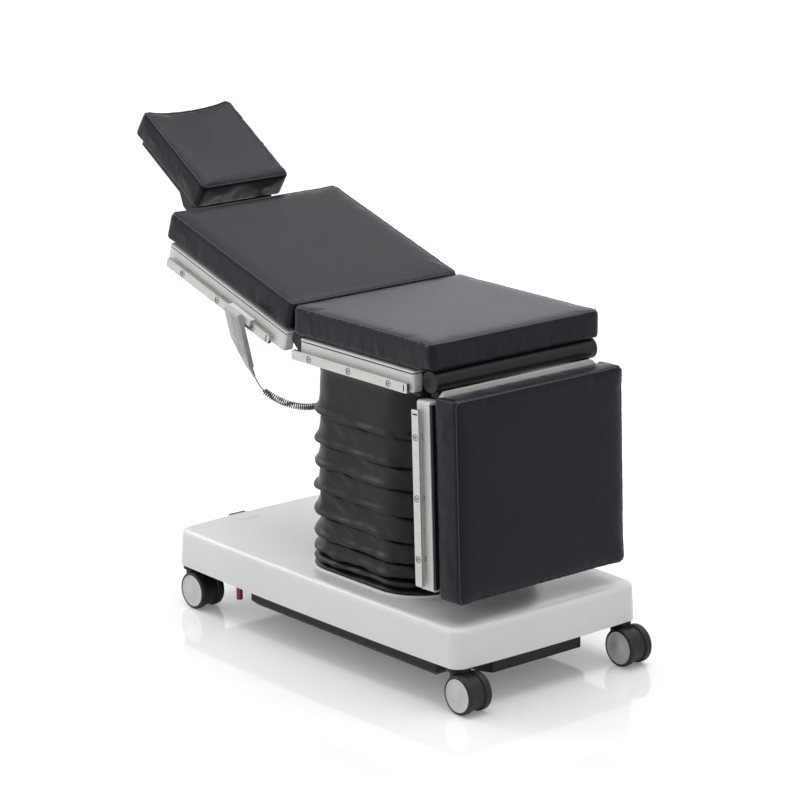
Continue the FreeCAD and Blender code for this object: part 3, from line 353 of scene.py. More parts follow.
# %% Finish of the solids
NODE_FINISH = {
    gel_coat: ["base_cover"],
    black_coat: ["chassis_plate", "chassis_tray", "drive_unit", "gaiter_plate", "seat_under_plate",
                 "seat_hinge_blocks", "hinge_tube", "leg_crossbars", "head_arms", "brake_lever",
                 "seat_crossbars", "back_crossbars", "head_board", "back_hinge_pins"],
    column_coat: ["column_outer", "column_middle", "column_inner", "tilt_yoke"],
    plated_steel: ["lift_rod", "lift_cylinder", "trend_shaft", "roll_shaft", "seat_rail_fixings",
                   "back_rail_fixings", "leg_rail_fixings"],
    pale_coat: ["seat_beams", "back_beams", "leg_beams"],
    laminate: ["seat_board", "back_board", "leg_board"],
    rail_steel: ["seat_rails", "back_rails", "leg_rails"],
    handset_plastic: ["handset", "cord_gland"],
    hook_plastic: ["handset_hook"],
    cord_jacket: ["cord_socket"],
    fork_nylon: ["castor_fork_1", "castor_fork_2", "castor_fork_3", "castor_fork_4"],
    red_plastic: ["brake_peg"],
}


def dress(piece, material):
    piece.data.materials.clear()
    piece.data.materials.append(material)


for material, names in NODE_FINISH.items():
    for name in names:
        dress(frame["nodes"][name], material)
print("finished solids:", sum(len(names) for names in NODE_FINISH.values()))

# %% [markdown]
# Each section of the table top is made level, measured from its hinge axis, and then turned into
# place about that axis. One function does that for every piece of a section, and leaves the
# piece's object at the origin with its place in its mesh.

# %% Section places
BACK_ANGLE = 17.0
LEG_ANGLE = 87.8
HEAD_ANGLE = 15.5
JOINTS = {joint["name"]: joint for joint in frame["record"]["behaviour"]["joints"]}


def section_matrix(joint, angle):
    return Matrix.Translation(JOINTS[joint]["pos_m"]) @ Matrix.Rotation(math.radians(angle), 4, "Y")


SECTION = {
    "seat": Matrix.Identity(4),
    "back": section_matrix("back_hinge", BACK_ANGLE),
    "leg": section_matrix("leg_hinge", LEG_ANGLE),
    "head": section_matrix("head_hinge", BACK_ANGLE + HEAD_ANGLE),
}


def select_only(piece):
    if bpy.context.mode != "OBJECT":
        bpy.ops.object.mode_set(mode="OBJECT")
    bpy.ops.object.select_all(action="DESELECT")
    piece.select_set(True)
    bpy.context.view_layer.objects.active = piece


def apply_place():
    bpy.ops.object.transform_apply(location=True, rotation=True, scale=True)


def put_in_place(piece, matrix):
    select_only(piece)
    piece.matrix_world = matrix
    apply_place()


def apply_modifier(piece, kind, **settings):
    select_only(piece)
    modifier = piece.modifiers.new(kind.lower(), kind)
    for name, value in settings.items():
        setattr(modifier, name, value)
    bpy.ops.object.modifier_apply(modifier=modifier.name)


print("sections:", sorted(SECTION))

# %% [markdown]
# A pad starts as a block of its full size. Its upright corners and its top and bottom edges are
# bevelled, as the foam is cut. Edges are picked by where their middle lies and which way they run.

# %% Pad blocks
CORNER_MM = 15
TOP_EDGE_MM = 9
BOTTOM_EDGE_MM = 6
SAME_WAY = 0.9
SAME_PLACE = 1e-5


def pick_edges(piece, test):
    """Selects the edges whose middle and direction pass the test, and leaves edit mode on."""
    select_only(piece)
    bpy.ops.object.mode_set(mode="EDIT")
    bpy.ops.mesh.select_mode(type="EDGE")
    bpy.ops.mesh.select_all(action="DESELECT")
    shape = bmesh.from_edit_mesh(piece.data)
    for edge in shape.edges:
        first, second = (vertex.co for vertex in edge.verts)
        edge.select = test((first + second) / 2, (second - first).normalized())
    shape.select_flush_mode()
    bmesh.update_edit_mesh(piece.data)


def plain_block(name, middle, size):
    bpy.ops.object.select_all(action="DESELECT")
    bpy.ops.mesh.primitive_cube_add(size=1, location=middle)
    block = bpy.context.object
    block.name = name
    block.scale = size
    apply_place()
    return block


def pad_block(name, x0, x1, half_width, z0, z1):
    """A block in millimetres, bevelled as foam is cut."""
    size = Vector((x1 - x0, 2 * half_width, z1 - z0)) * MM
    middle = Vector(((x0 + x1) / 2, 0, (z0 + z1) / 2)) * MM
    pad = plain_block(name, middle, size)
    pick_edges(pad, lambda place, along: abs(along.z) > SAME_WAY)
    bpy.ops.mesh.bevel(offset=CORNER_MM * MM, segments=6)
    top = middle.z + size.z / 2
    bottom = middle.z - size.z / 2
    pick_edges(pad, lambda place, along: abs(place.z - top) < SAME_PLACE)
    bpy.ops.mesh.bevel(offset=TOP_EDGE_MM * MM, segments=4)
    pick_edges(pad, lambda place, along: abs(place.z - bottom) < SAME_PLACE)
    bpy.ops.mesh.bevel(offset=BOTTOM_EDGE_MM * MM, segments=3)
    bpy.ops.object.mode_set(mode="OBJECT")
    print(name, "block", [round(value / MM) for value in size], "mm")
    return pad


# %% [markdown]
# The foam presses its cover outwards, so a pad is slightly crowned and its sides pull in between
# the corners. Cloth with a little air pressure gives just that: the block is remeshed into even
# cells, blown up for twenty frames without gravity, and the swelling is then limited smoothly, so
# that the middle of a face rises by a few millimetres and the corners hardly move.

# %% Pad swelling
VOXEL_MM = 6.0
SWELL_FRAMES = 20
PRESSURE = 4.0


def vertex_places(mesh):
    places = np.empty(len(mesh.vertices) * 3)
    mesh.vertices.foreach_get("co", places)
    return places.reshape(-1, 3)


def blow_up(pad, limit_mm):
    apply_modifier(pad, "REMESH", mode="VOXEL", voxel_size=VOXEL_MM * MM)
    before = vertex_places(pad.data)
    cloth = pad.modifiers.new("cloth", "CLOTH")
    cloth.settings.use_pressure = True
    cloth.settings.uniform_pressure_force = PRESSURE
    cloth.settings.effector_weights.gravity = 0
    cloth.settings.quality = 4
    cloth.point_cache.frame_start = 1
    cloth.point_cache.frame_end = SWELL_FRAMES
    for step in range(1, SWELL_FRAMES + 1):
        bpy.context.scene.frame_set(step)
    shown = pad.evaluated_get(bpy.context.evaluated_depsgraph_get())
    moves = vertex_places(shown.data) - before
    pad.modifiers.remove(cloth)
    bpy.context.scene.frame_set(1)
    reach = np.linalg.norm(moves, axis=1, keepdims=True)
    limited = moves * (limit_mm * MM / (reach + limit_mm * MM))
    pad.data.vertices.foreach_set("co", (before + limited).ravel())
    pad.data.update()
    print(pad.name, "swelled by", round(float(np.abs(limited).max()) / MM, 1), "mm")
    apply_modifier(pad, "SUBSURF", levels=1, render_levels=1)
    select_only(pad)
    bpy.ops.object.shade_smooth()


# %% [markdown]
# Cloth is never quite smooth: it puckers along a seam, most at the corners, and falls into shallow
# upright creases lower down. Both are clouds of noise that move the surface in and out, held to
# their place by a vertex group. An empty can turn and stretch the clouds.

# %% Wrinkles
LEAST_SHARE = 0.001
EDGE_SWELL_MM = 3.0


def weigh(piece, name, weight):
    """A vertex group from a function of a vertex's place in millimetres."""
    group = piece.vertex_groups.new(name=name)
    for vertex in piece.data.vertices:
        share = min(max(weight(*(vertex.co / MM)), 0), 1)
        if share > LEAST_SHARE:
            group.add([vertex.index], share, "REPLACE")
    return group


def wrinkle(piece, group, size_mm, strength_mm, direction="NORMAL", depth=1, stretch=None, lean=0,
            kind="SOFT_NOISE"):
    """Moves the group's surface by clouds, which a stretched and leaning empty may turn."""
    clouds = bpy.data.textures.new(group.name, "CLOUDS")
    clouds.noise_scale = size_mm * MM
    clouds.noise_depth = depth
    clouds.noise_type = kind
    settings = {"texture": clouds, "strength": strength_mm * MM, "mid_level": 0.5, "direction": direction,
                "vertex_group": group.name, "texture_coords": "LOCAL"}
    if stretch:
        bpy.ops.object.select_all(action="DESELECT")
        bpy.ops.object.empty_add(rotation=(0, math.radians(lean), math.radians(lean)))
        guide = bpy.context.object
        guide.scale = stretch
        bpy.context.view_layer.update()
        settings.update(texture_coords="OBJECT", texture_coords_object=guide)
    apply_modifier(piece, "DISPLACE", **settings)
    if stretch:
        bpy.data.objects.remove(guide)


def fit_size(pad, swell, x0, x1, half_width, z0, z1):
    """Stretches a pad so that its swollen faces lie a little outside its block's size."""
    places = vertex_places(pad.data)
    low, high = places.min(axis=0), places.max(axis=0)
    aim_low = np.array((x0 - swell, -half_width - swell, z0)) * MM
    aim_high = np.array((x1 + EDGE_SWELL_MM, half_width + swell, z1 + swell)) * MM
    fitted = aim_low + (places - low) * (aim_high - aim_low) / (high - low)
    pad.data.vertices.foreach_set("co", fitted.ravel())
    pad.data.update()
    print(pad.name, "fitted from", np.round((high - low) / MM, 1), "mm")


print("a vertex with less than", LEAST_SHARE, "of a wrinkle stays out of its group")

# %% [markdown]
# On a pad, fine puckers follow the seam that runs round the rounded top edge, and are twice as deep
# at a corner as along a side. Upright creases start a little below the seam and fade out again at
# the underside, where the cover is pulled tight.

# %% Puckers and creases of a pad
SEAM_DROP_MM = TOP_EDGE_MM * 0.3
SEAM_REACH_MM = 11
CORNER_REACH_MM = 26
SIDE_DEPTH_MM = 5
CREASE_DROP_MM = 12
CREASE_FADE_MM = 45
BOTTOM_FADE_MM = 10


def pucker(pad, x0, x1, half_width, z0, z1):
    """Puckers along the upper seam, and upright creases on the sides, for a level pad."""
    seam = z1 - SEAM_DROP_MM

    def edge_gaps(x, y):
        return max(min(x - x0, x1 - x), 0), max(half_width - abs(y), 0)

    def near_seam(x, y, z):
        gap_x, gap_y = edge_gaps(x, y)
        away = math.hypot(min(gap_x, gap_y), z - seam)
        corner = math.exp(-(math.hypot(gap_x, gap_y) / CORNER_REACH_MM) ** 2)
        return (1 - away / SEAM_REACH_MM) * (1 + corner) / 2

    def low_side(x, y, z):
        if min(edge_gaps(x, y)) > SIDE_DEPTH_MM:
            return 0
        return min((seam - CREASE_DROP_MM - z) / CREASE_FADE_MM, (z - z0) / BOTTOM_FADE_MM)

    wrinkle(pad, weigh(pad, "seam puckers", near_seam), size_mm=9, strength_mm=11, depth=2)
    wrinkle(pad, weigh(pad, "side creases", low_side), size_mm=34, strength_mm=3.2, depth=2,
            stretch=(1, 1, 3))


print("seam", round(SEAM_DROP_MM, 1), "mm below a pad's top")

# %% [markdown]
# Top and side panels of a cover meet in a narrow welded bead that runs round the pad's upper edge.
# A bump in the material wouldn't change the pad's outline, so the bead is a shape of its own: a
# rounded rectangle of edges with slight waves, pulled onto the pad's surface and given thickness.

# %% Seam beads
BEAD_RADIUS_MM = 1.4
BEAD_LIFT_MM = 0.8
STRAIGHT_EDGE = 0.999


def rounded_loop(name, middle, length, width, corner, segments, cuts):
    """Edges round a level rectangle with round corners, in millimetres, and its sides cut up."""
    bpy.ops.object.select_all(action="DESELECT")
    bpy.ops.mesh.primitive_plane_add(size=1, location=[value * MM for value in middle])
    loop = bpy.context.object
    loop.name = name
    loop.scale = (length * MM, width * MM, 1)
    apply_place()
    bpy.ops.object.mode_set(mode="EDIT")
    bpy.ops.mesh.select_all(action="SELECT")
    bpy.ops.mesh.bevel(offset=corner * MM, segments=segments, affect="VERTICES")
    bpy.ops.mesh.select_all(action="SELECT")
    bpy.ops.mesh.delete(type="ONLY_FACE")
    bpy.ops.object.mode_set(mode="OBJECT")
    pick_edges(loop, lambda place, along: max(abs(along.x), abs(along.y)) > STRAIGHT_EDGE)
    bpy.ops.mesh.subdivide(number_cuts=cuts)
    bpy.ops.object.mode_set(mode="OBJECT")
    return loop


def seam_bead(name, pad, x0, x1, half_width, z):
    """A bead round the pad at the height z, in millimetres, laid on the pad's surface."""
    length = x1 - x0 - 2 * SEAM_DROP_MM
    width = 2 * half_width - 2 * SEAM_DROP_MM
    bead = rounded_loop(name, ((x0 + x1) / 2, 0, z), length, width, CORNER_MM, segments=10, cuts=90)
    wrinkle(bead, weigh(bead, "bead waves", lambda x, y, z: 1), size_mm=14, strength_mm=1.6,
            direction="Z")
    apply_modifier(bead, "SHRINKWRAP", target=pad, wrap_method="NEAREST_SURFACEPOINT",
                   offset=BEAD_LIFT_MM * MM)
    bpy.ops.object.convert(target="CURVE")
    bead.data.bevel_depth = BEAD_RADIUS_MM * MM
    bead.data.bevel_resolution = 2
    bpy.ops.object.convert(target="MESH")
    bpy.ops.object.shade_smooth()
    dress(bead, bead_cloth)
    return bead


print("bead", 2 * BEAD_RADIUS_MM, "mm thick")

# %% [markdown]
# The seat pad is hollowed where it lies over the hinge tube, and the leg pad has a pocket below for
# its board. Both are cut from the block with a boolean, before the pad is blown up, so that the
# cover wraps the edges of the hollow too.

# %% Hollows under the pads
ACROSS = (math.pi / 2, 0, 0)
TUBE_ROOM_MM = 31
TUBE_CUT_MM = 640
LEG_POCKET_MM = (10, 538, 264, 0, 34.5)


def cut_away(pad, cutter):
    apply_modifier(pad, "BOOLEAN", operation="DIFFERENCE", solver="EXACT", object=cutter)
    bpy.data.objects.remove(cutter)


def bar_across(middle, radius, length, sides):
    """A cylinder across the table, with its radius and length in millimetres."""
    bpy.ops.object.select_all(action="DESELECT")
    bpy.ops.mesh.primitive_cylinder_add(vertices=sides, radius=radius * MM, depth=length * MM,
                                        location=middle, rotation=ACROSS)
    return bpy.context.object


def board_cutter(x0, x1, half_width, z0, z1):
    bpy.ops.object.select_all(action="DESELECT")
    bpy.ops.mesh.primitive_cube_add(size=1, location=((x0 + x1) / 2 * MM, 0, (z0 + z1) / 2 * MM))
    cutter = bpy.context.object
    cutter.scale = ((x1 - x0) * MM, 2 * half_width * MM, (z1 - z0) * MM)
    return cutter


print("room for the hinge tube:", 2 * TUBE_ROOM_MM, "mm across")

# %% [markdown]
# The four pads go through the same steps, from block to bead. The head pad swells more than the
# others, and its top is dished for a head. Each row has a level pad's two ends, half its width, its
# underside and its top, in millimetres: the seat's in the frame, the others' from their hinge axis.

# %% Pads
PAD_HALF_WIDTH = 280
HEAD_HALF_WIDTH = 145
PAD_SIZES = {
    "seat": (68, 603, PAD_HALF_WIDTH, 827.5, 907.5),
    "back": (-558, -22, PAD_HALF_WIDTH, 12.5, 92.5),
    "leg": (32, 545, PAD_HALF_WIDTH, 23.7, 107.7),
    "head": (-322, -9, HEAD_HALF_WIDTH, 43.5, 123.5),
}
SWELL_LIMIT_MM = 5.0
HEAD_SWELL_MM = 5.5
HEAD_DISH_MM = 17
DISH_FADE_MM = 30


def dish_head(pad):
    """Lowers the head pad's top across its width, most at its head end."""
    x0, x1, half_width, z0, z1 = PAD_SIZES["head"]
    fade = z0 + DISH_FADE_MM
    shape = bmesh.new()
    shape.from_mesh(pad.data)
    for vertex in shape.verts:
        along = min(max((x1 * MM - vertex.co.x) / ((x1 - x0) * MM), 0), 1)
        across = 1 - min(abs(vertex.co.y) / (half_width * MM), 1) ** 2
        height = min(max((vertex.co.z / MM - fade) / (z1 - fade), 0), 1)
        vertex.co.z -= HEAD_DISH_MM * MM * along * across * height
    shape.to_mesh(pad.data)
    shape.free()


pads = {}
for section, size in PAD_SIZES.items():
    pad = pad_block(section + "_pad", *size)
    if section == "seat":
        axis = JOINTS["leg_hinge"]["pos_m"]
        cut_away(pad, bar_across((axis[0], 0, axis[2]), TUBE_ROOM_MM, TUBE_CUT_MM, sides=48))
    if section == "leg":
        cut_away(pad, board_cutter(*LEG_POCKET_MM))
    blow_up(pad, SWELL_LIMIT_MM)
    pucker(pad, *size)
    fit_size(pad, HEAD_SWELL_MM if section == "head" else EDGE_SWELL_MM, *size)
    if section == "head":
        dish_head(pad)
    dress(pad, upholstery)
    bead = seam_bead(section + "_pad_bead", pad, *size[:3], size[-1] - SEAM_DROP_MM)
    for piece in (pad, bead):
        put_in_place(piece, SECTION[section])
    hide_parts(section + "_cushion")
    pads[section] = (pad, bead)
print("pads:", {name: len(pair[0].data.polygons) for name, pair in pads.items()})

# %% [markdown]
# The pads ride on their sections. When the back is raised far, its pad presses into the seat pad. The back
# pad and its bead get meshes of their own.

# %% Pads on their bodies
for section, pair in pads.items():
    for piece in pair:
        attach(piece, section)
for piece in pads["back"]:
    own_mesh(piece)

# %% [markdown]
# The gaiter is a tube of thin coated cloth that hangs over the column in panels. It is drawn from
# its top edge down: a rounded rectangle of edges is extruded row by row, and each row is resized.
# A panel leans in, swells out to a lip at its lower edge, and is tucked in sharply below the lip.
# Toward the foot the panels are pressed together into two rolls. A simulated cloth would choose its
# own folds, so rows at the heights of the real lips are the surer way. All sizes are millimetres.

# %% Gaiter outline
GAITER_MIDDLE = 262
GAITER_HALF_LENGTH = 225
GAITER_HALF_WIDTH = 240
GAITER_CORNER = 115
GAITER_FOOT, GAITER_TOP = (corner[2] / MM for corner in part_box("gaiter"))
LIP_SPACINGS = [136, 77, 61, 68, 65, 56, 40, 22, 22]
FOOT_BAND_MM = 5
LIP_REACH_MM = 6
PANEL_MM = 5
TUCK_MM = 12
RIM_INSET_MM = 4
# Rows of height and offset: below the gaiter's top, and then against the edge of a lip
TOP_ROWS = [(-5, -2), (-12, 0)]
SWELL_ROWS = [(22, -PANEL_MM), (13, -PANEL_MM * 0.3), (7, LIP_REACH_MM * 0.5)]
LIP_ROWS = [(3, LIP_REACH_MM * 0.9), (0, LIP_REACH_MM), (-1.5, LIP_REACH_MM * 0.5)]
TUCK_ROWS = [(-3, -TUCK_MM * 0.5), (-5, -TUCK_MM * 0.95), (-8, -TUCK_MM)]
# A panel hangs from below one lip to above the next, unless they are closer than a roll's height
ROLL_MM = 30
FIRST_START_MM = 16
PANEL_START_MM = 12
PANEL_END_MM = 24
PANEL_SHARES = (0.1, 0.3, 0.55, 0.8)
PANEL_LEAN = 0.6


def rows_from(height, steps):
    return [(height + step, offset) for step, offset in steps]


def fold_rows():
    """Heights in millimetres, from the top down, and each row's offset from the outline."""
    rows = rows_from(GAITER_TOP, TOP_ROWS)
    lips = [GAITER_TOP]
    scale = (GAITER_TOP - GAITER_FOOT - FOOT_BAND_MM) / sum(LIP_SPACINGS)
    for index, spacing in enumerate(LIP_SPACINGS):
        lip = lips[-1] - spacing * scale
        start = lips[-1] - PANEL_START_MM if index else GAITER_TOP - FIRST_START_MM
        if spacing * scale > ROLL_MM:
            for share in PANEL_SHARES:
                height = start + (lip + PANEL_END_MM - start) * share
                rows.append((height, -PANEL_MM * (1 + PANEL_LEAN - PANEL_LEAN * share)))
            rows += rows_from(lip, SWELL_ROWS)
        rows += rows_from(lip, LIP_ROWS)
        if index < len(LIP_SPACINGS) - 1:
            rows += rows_from(lip, TUCK_ROWS)
        lips.append(lip)
    return rows + [(GAITER_FOOT, 0)], lips[1:]


rows, lips = fold_rows()
print("gaiter rows:", len(rows), "lips at", [round(lip) for lip in lips], "mm")

# %% [markdown]
# The edges are extruded down from row to row, and each new row is stretched about the gaiter's
# middle until it stands at its offset.

# %% Gaiter folds
def extrude_down(step):
    bpy.ops.mesh.extrude_region_move(TRANSFORM_OT_translate={"value": (0, 0, step)})


gaiter = rounded_loop("gaiter_cloth", (GAITER_MIDDLE, 0, GAITER_TOP),
                      2 * (GAITER_HALF_LENGTH - RIM_INSET_MM), 2 * (GAITER_HALF_WIDTH - RIM_INSET_MM),
                      GAITER_CORNER - RIM_INSET_MM, segments=16, cuts=23)
bpy.ops.object.mode_set(mode="EDIT")
bpy.ops.mesh.select_all(action="SELECT")
offset_before = -RIM_INSET_MM
height_before = GAITER_TOP
for height, offset in rows:
    extrude_down((height - height_before) * MM)
    stretch_x = (GAITER_HALF_LENGTH + offset) / (GAITER_HALF_LENGTH + offset_before)
    stretch_y = (GAITER_HALF_WIDTH + offset) / (GAITER_HALF_WIDTH + offset_before)
    bpy.ops.transform.resize(value=(stretch_x, stretch_y, 1),
                             center_override=(GAITER_MIDDLE * MM, 0, height * MM))
    height_before, offset_before = height, offset
bpy.ops.object.mode_set(mode="OBJECT")
print("gaiter faces:", len(gaiter.data.polygons))

# %% [markdown]
# Real folds are never level or even. Broad noises move the rows up and down and in and out. Two
# finer ones, stretched by a turned and scaled empty, add slanted creases: soft ones mostly toward
# the foot end, where the cloth is slack, and sharp ones all round, deepest near the base. Vertex
# groups hold the top band and the foot still, where the cloth is clamped.

# %% Gaiter wrinkles
TOP_BAND_MM = 14
TOP_FADE_MM = 90
BOTTOM_BAND_MM = 2
CLAMP_MM = 16
SLACK_LEAST = 0.2
SLACK_MORE = 0.6
CREASE_LEAST = 0.35
CREASE_MORE = 0.5
CLOTH_MM = 1.5


def lowness(height):
    return 1 - (height - GAITER_FOOT) / (GAITER_TOP - GAITER_FOOT)


def free_cloth(x, y, height):
    below_top = (GAITER_TOP - TOP_BAND_MM - height) / TOP_FADE_MM
    above_foot = (height - GAITER_FOOT - BOTTOM_BAND_MM) / CLAMP_MM
    return min(below_top, above_foot, 1)


def slack_cloth(x, y, height):
    along = min(max((x - GAITER_MIDDLE) / GAITER_HALF_LENGTH, -1), 1)
    slack = SLACK_LEAST + SLACK_MORE * max(along, 0) ** 2 + SLACK_MORE * along ** 6 * lowness(height)
    return free_cloth(x, y, height) * slack


def creased_cloth(x, y, height):
    return free_cloth(x, y, height) * (CREASE_LEAST + CREASE_MORE * lowness(height))


free = weigh(gaiter, "free cloth", free_cloth)
wrinkle(gaiter, free, size_mm=210, strength_mm=14, direction="Z")
wrinkle(gaiter, free, size_mm=130, strength_mm=5)
wrinkle(gaiter, weigh(gaiter, "slack cloth", slack_cloth), size_mm=26, strength_mm=19, depth=2,
        stretch=(3.2, 3.2, 1), lean=25)
wrinkle(gaiter, weigh(gaiter, "creased cloth", creased_cloth), size_mm=42, strength_mm=-13,
        stretch=(3.4, 3.4, 1), lean=20, kind="HARD_NOISE")
apply_modifier(gaiter, "SUBSURF", levels=1, render_levels=1)
select_only(gaiter)
bpy.ops.object.mode_set(mode="EDIT")
bpy.ops.mesh.select_all(action="SELECT")
bpy.ops.mesh.normals_make_consistent(inside=False)
bpy.ops.object.mode_set(mode="OBJECT")
apply_modifier(gaiter, "SOLIDIFY", thickness=CLOTH_MM * MM, offset=-1)
bpy.ops.object.shade_smooth()
dress(gaiter, gaiter_cloth)
print("gaiter after wrinkles:", len(gaiter.data.polygons), "faces")

# %% [markdown]
# The gaiter crosses three joints: the lift, the lengthwise tilt and the sideways tilt. A piece can bend
# across one joint only. So the cloth is cut at two heights, each a little below a lip, into three parts,
# one for each joint.

# %% Gaiter in three parts
CUT_BELOW_LIP = 9
BEYOND_END = 20
UPPER_CUT = lips[0] - CUT_BELOW_LIP
LOWER_CUT = lips[2] - CUT_BELOW_LIP


def cut_part(name, low, high):
    """A copy of the gaiter between two heights."""
    select_only(gaiter)
    bpy.ops.object.duplicate()
    part = bpy.context.object
    part.name = name
    bpy.ops.object.mode_set(mode="EDIT")
    for height, above in ((low, False), (high, True)):
        bpy.ops.mesh.select_all(action="SELECT")
        bpy.ops.mesh.bisect(plane_co=(0, 0, height * MM), plane_no=(0, 0, 1), clear_outer=above,
                            clear_inner=not above)
    bpy.ops.object.mode_set(mode="OBJECT")
    return part


lower_part = cut_part("gaiter_lower", GAITER_FOOT - BEYOND_END, LOWER_CUT)
middle_part = cut_part("gaiter_middle", LOWER_CUT, UPPER_CUT)
upper_part = cut_part("gaiter_upper", UPPER_CUT, GAITER_TOP + BEYOND_END)
bpy.data.objects.remove(gaiter)
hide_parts("gaiter")
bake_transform(lower_part)
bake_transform(middle_part)
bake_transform(upper_part)
print("gaiter cuts at", round(LOWER_CUT), "and", round(UPPER_CUT), "mm")

# %% [markdown]
# A castor has two wheels, each a ring of polyurethane on a pale disc. A torus would make a round
# tread, and this one is flat. So the ring starts as a cylinder whose two ends are inset and bridged
# into a hole, and its outer edges are rounded. Sizes are in millimetres.

# %% One tyre
WHEEL_RADIUS = 50
WHEEL_WIDTH = 22
TREAD_EDGE = 6
DISC_RADIUS = 42.8
SHARP_ANGLE = 35


def lying_cylinder(name, radius, width):
    piece = bar_across((0, 0, 0), radius, width, sides=96)
    piece.name = name
    apply_place()
    return piece


def pick_faces(piece, test):
    select_only(piece)
    bpy.ops.object.mode_set(mode="EDIT")
    bpy.ops.mesh.select_mode(type="FACE")
    bpy.ops.mesh.select_all(action="DESELECT")
    shape = bmesh.from_edit_mesh(piece.data)
    for face in shape.faces:
        face.select = test(face.calc_center_median(), face.normal)
    shape.select_flush_mode()
    bmesh.update_edit_mesh(piece.data)


def rim_edge(place, along):
    """True for the edges round the two ends of the tread."""
    at_end = abs(abs(place.y) - WHEEL_WIDTH / 2 * MM) < SAME_PLACE
    at_tread = math.hypot(place.x, place.z) > (WHEEL_RADIUS - 1) * MM
    runs_round = abs(place.x * along.x + place.z * along.z) < SAME_PLACE
    return at_end and at_tread and runs_round


tyre = lying_cylinder("tyre", WHEEL_RADIUS, WHEEL_WIDTH)
pick_faces(tyre, lambda place, normal: abs(normal.y) > SAME_WAY)
bpy.ops.mesh.inset(thickness=(WHEEL_RADIUS - DISC_RADIUS) * MM, use_individual=True)
bpy.ops.mesh.bridge_edge_loops()
bpy.ops.object.mode_set(mode="OBJECT")
pick_edges(tyre, rim_edge)
bpy.ops.mesh.bevel(offset=TREAD_EDGE * MM, segments=5)
bpy.ops.object.mode_set(mode="OBJECT")
select_only(tyre)
bpy.ops.object.shade_smooth_by_angle(angle=math.radians(SHARP_ANGLE))
dress(tyre, tyre_rubber)
print("tyre faces:", len(tyre.data.polygons))

# %% [markdown]
# The disc is dished a little, with a thin step at its rim. Its profile could be spun round the
# axle, but insets and pushes of its two end faces are easier to change. Each pair below is an inset
# and a push outwards, in millimetres.

# %% One disc
DISC_PLAY = 0.15
DISC_RECESS = 1.5
DISC_EDGE = 0.4
DISC_STEPS = ((1.2, 0), (1.4, -0.8), (2.2, 0), (1.0, -0.9), (22, 0), (2.0, 1.0))


def middle_face(place, normal):
    return abs(normal.y) > SAME_WAY and math.hypot(place.x, place.z) < 10 * SAME_PLACE


disc = lying_cylinder("disc", DISC_RADIUS - DISC_PLAY, WHEEL_WIDTH - DISC_RECESS)
for inset, push in DISC_STEPS:
    pick_faces(disc, middle_face)
    bpy.ops.mesh.inset(thickness=inset * MM, use_individual=True)
    if push:
        bpy.ops.transform.shrink_fatten(value=push * MM)
    bpy.ops.object.mode_set(mode="OBJECT")
apply_modifier(disc, "BEVEL", width=DISC_EDGE * MM, segments=2, limit_method="ANGLE")
bpy.ops.object.shade_smooth_by_angle(angle=math.radians(SHARP_ANGLE))
dress(disc, disc_plastic)
print("disc faces:", len(disc.data.polygons))

# %% [markdown]
# All eight wheels are alike, so the tyre and the disc are copied to the middle of each wheel's
# solid. Each copy has its own mesh, turns with its own wheel, and the tyre takes the solid's place.

# %% Eight wheels
for number in (1, 2, 3, 4):
    for side in ("near", "far"):
        node = "castor_wheel_" + str(number) + "_" + side
        low, high = (Vector(corner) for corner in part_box(node))
        for model, kind in ((tyre, "tyre"), (disc, "disc")):
            select_only(model)
            bpy.ops.object.duplicate()
            copy = bpy.context.object
            copy.name = kind + "_" + str(number) + "_" + side
            copy.location = (low + high) / 2
            apply_place()
            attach(copy, "wheel_" + str(number) + "_" + side)
            if kind == "tyre":
                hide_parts(node)
bpy.data.objects.remove(tyre)
bpy.data.objects.remove(disc)
print("wheels placed")

# %% [markdown]
# The handset's cord leaves the gland, curls under the back section and goes into a socket on the
# seat frame. Its route is a smooth NURBS curve that a few points pull into shape. The curly part
# is a helix round that route, worked out point by point, and the two ends stay straight. A spin or
# a screw modifier would coil only a straight cord.

# %% Cord route
ROUTE = [
    (-0.121, -0.261, 0.6805), (-0.114, -0.253, 0.659), (-0.103, -0.245, 0.642), (-0.084, -0.226, 0.625),
    (-0.050, -0.208, 0.611), (-0.030, -0.172, 0.600), (-0.015, -0.130, 0.599), (-0.008, -0.095, 0.617),
    (-0.008, -0.068, 0.655), (-0.008, -0.059, 0.700), (-0.008, -0.058, 0.735), (-0.005, -0.058, 0.757),
    (0.006, -0.058, 0.775), (0.024, -0.058, 0.783), (0.046, -0.058, 0.785), (0.073, -0.058, 0.785),
]
WIRE_MM = 3.4
COIL_MM = 19.5
PITCH_MM = 5.6
TAIL_SHARE = 0.085
LEAD_SHARE = 0.76
EASE_MM = 8
TURN_STEPS = 14
STRAIGHT_STEP_MM = 2


def nurbs_line(points):
    """Points along a smooth NURBS curve, read back as Blender draws it."""
    curve = bpy.data.curves.new("route", "CURVE")
    curve.dimensions = "3D"
    curve.resolution_u = 40
    spline = curve.splines.new("NURBS")
    spline.points.add(len(points) - 1)
    for point, place in zip(spline.points, points):
        point.co = (*place, 1)
    spline.order_u = 3
    spline.use_endpoint_u = True
    route = bpy.data.objects.new("route", curve)
    line = bpy.data.meshes.new_from_object(route)
    places = [vertex.co.copy() for vertex in line.vertices]
    bpy.data.objects.remove(route)
    return places


line = nurbs_line(ROUTE)
line_length = sum((b - a).length for a, b in zip(line, line[1:]))
print("cord route", round(line_length, 4), "m,", len(line), "points")

# %% [markdown]
# The helix walks along the route in small steps. At each one it knows two directions across the
# route, carried along so that they never flip, and it turns between them. Where the coil begins and
# ends, its radius grows from nothing over a few millimetres.

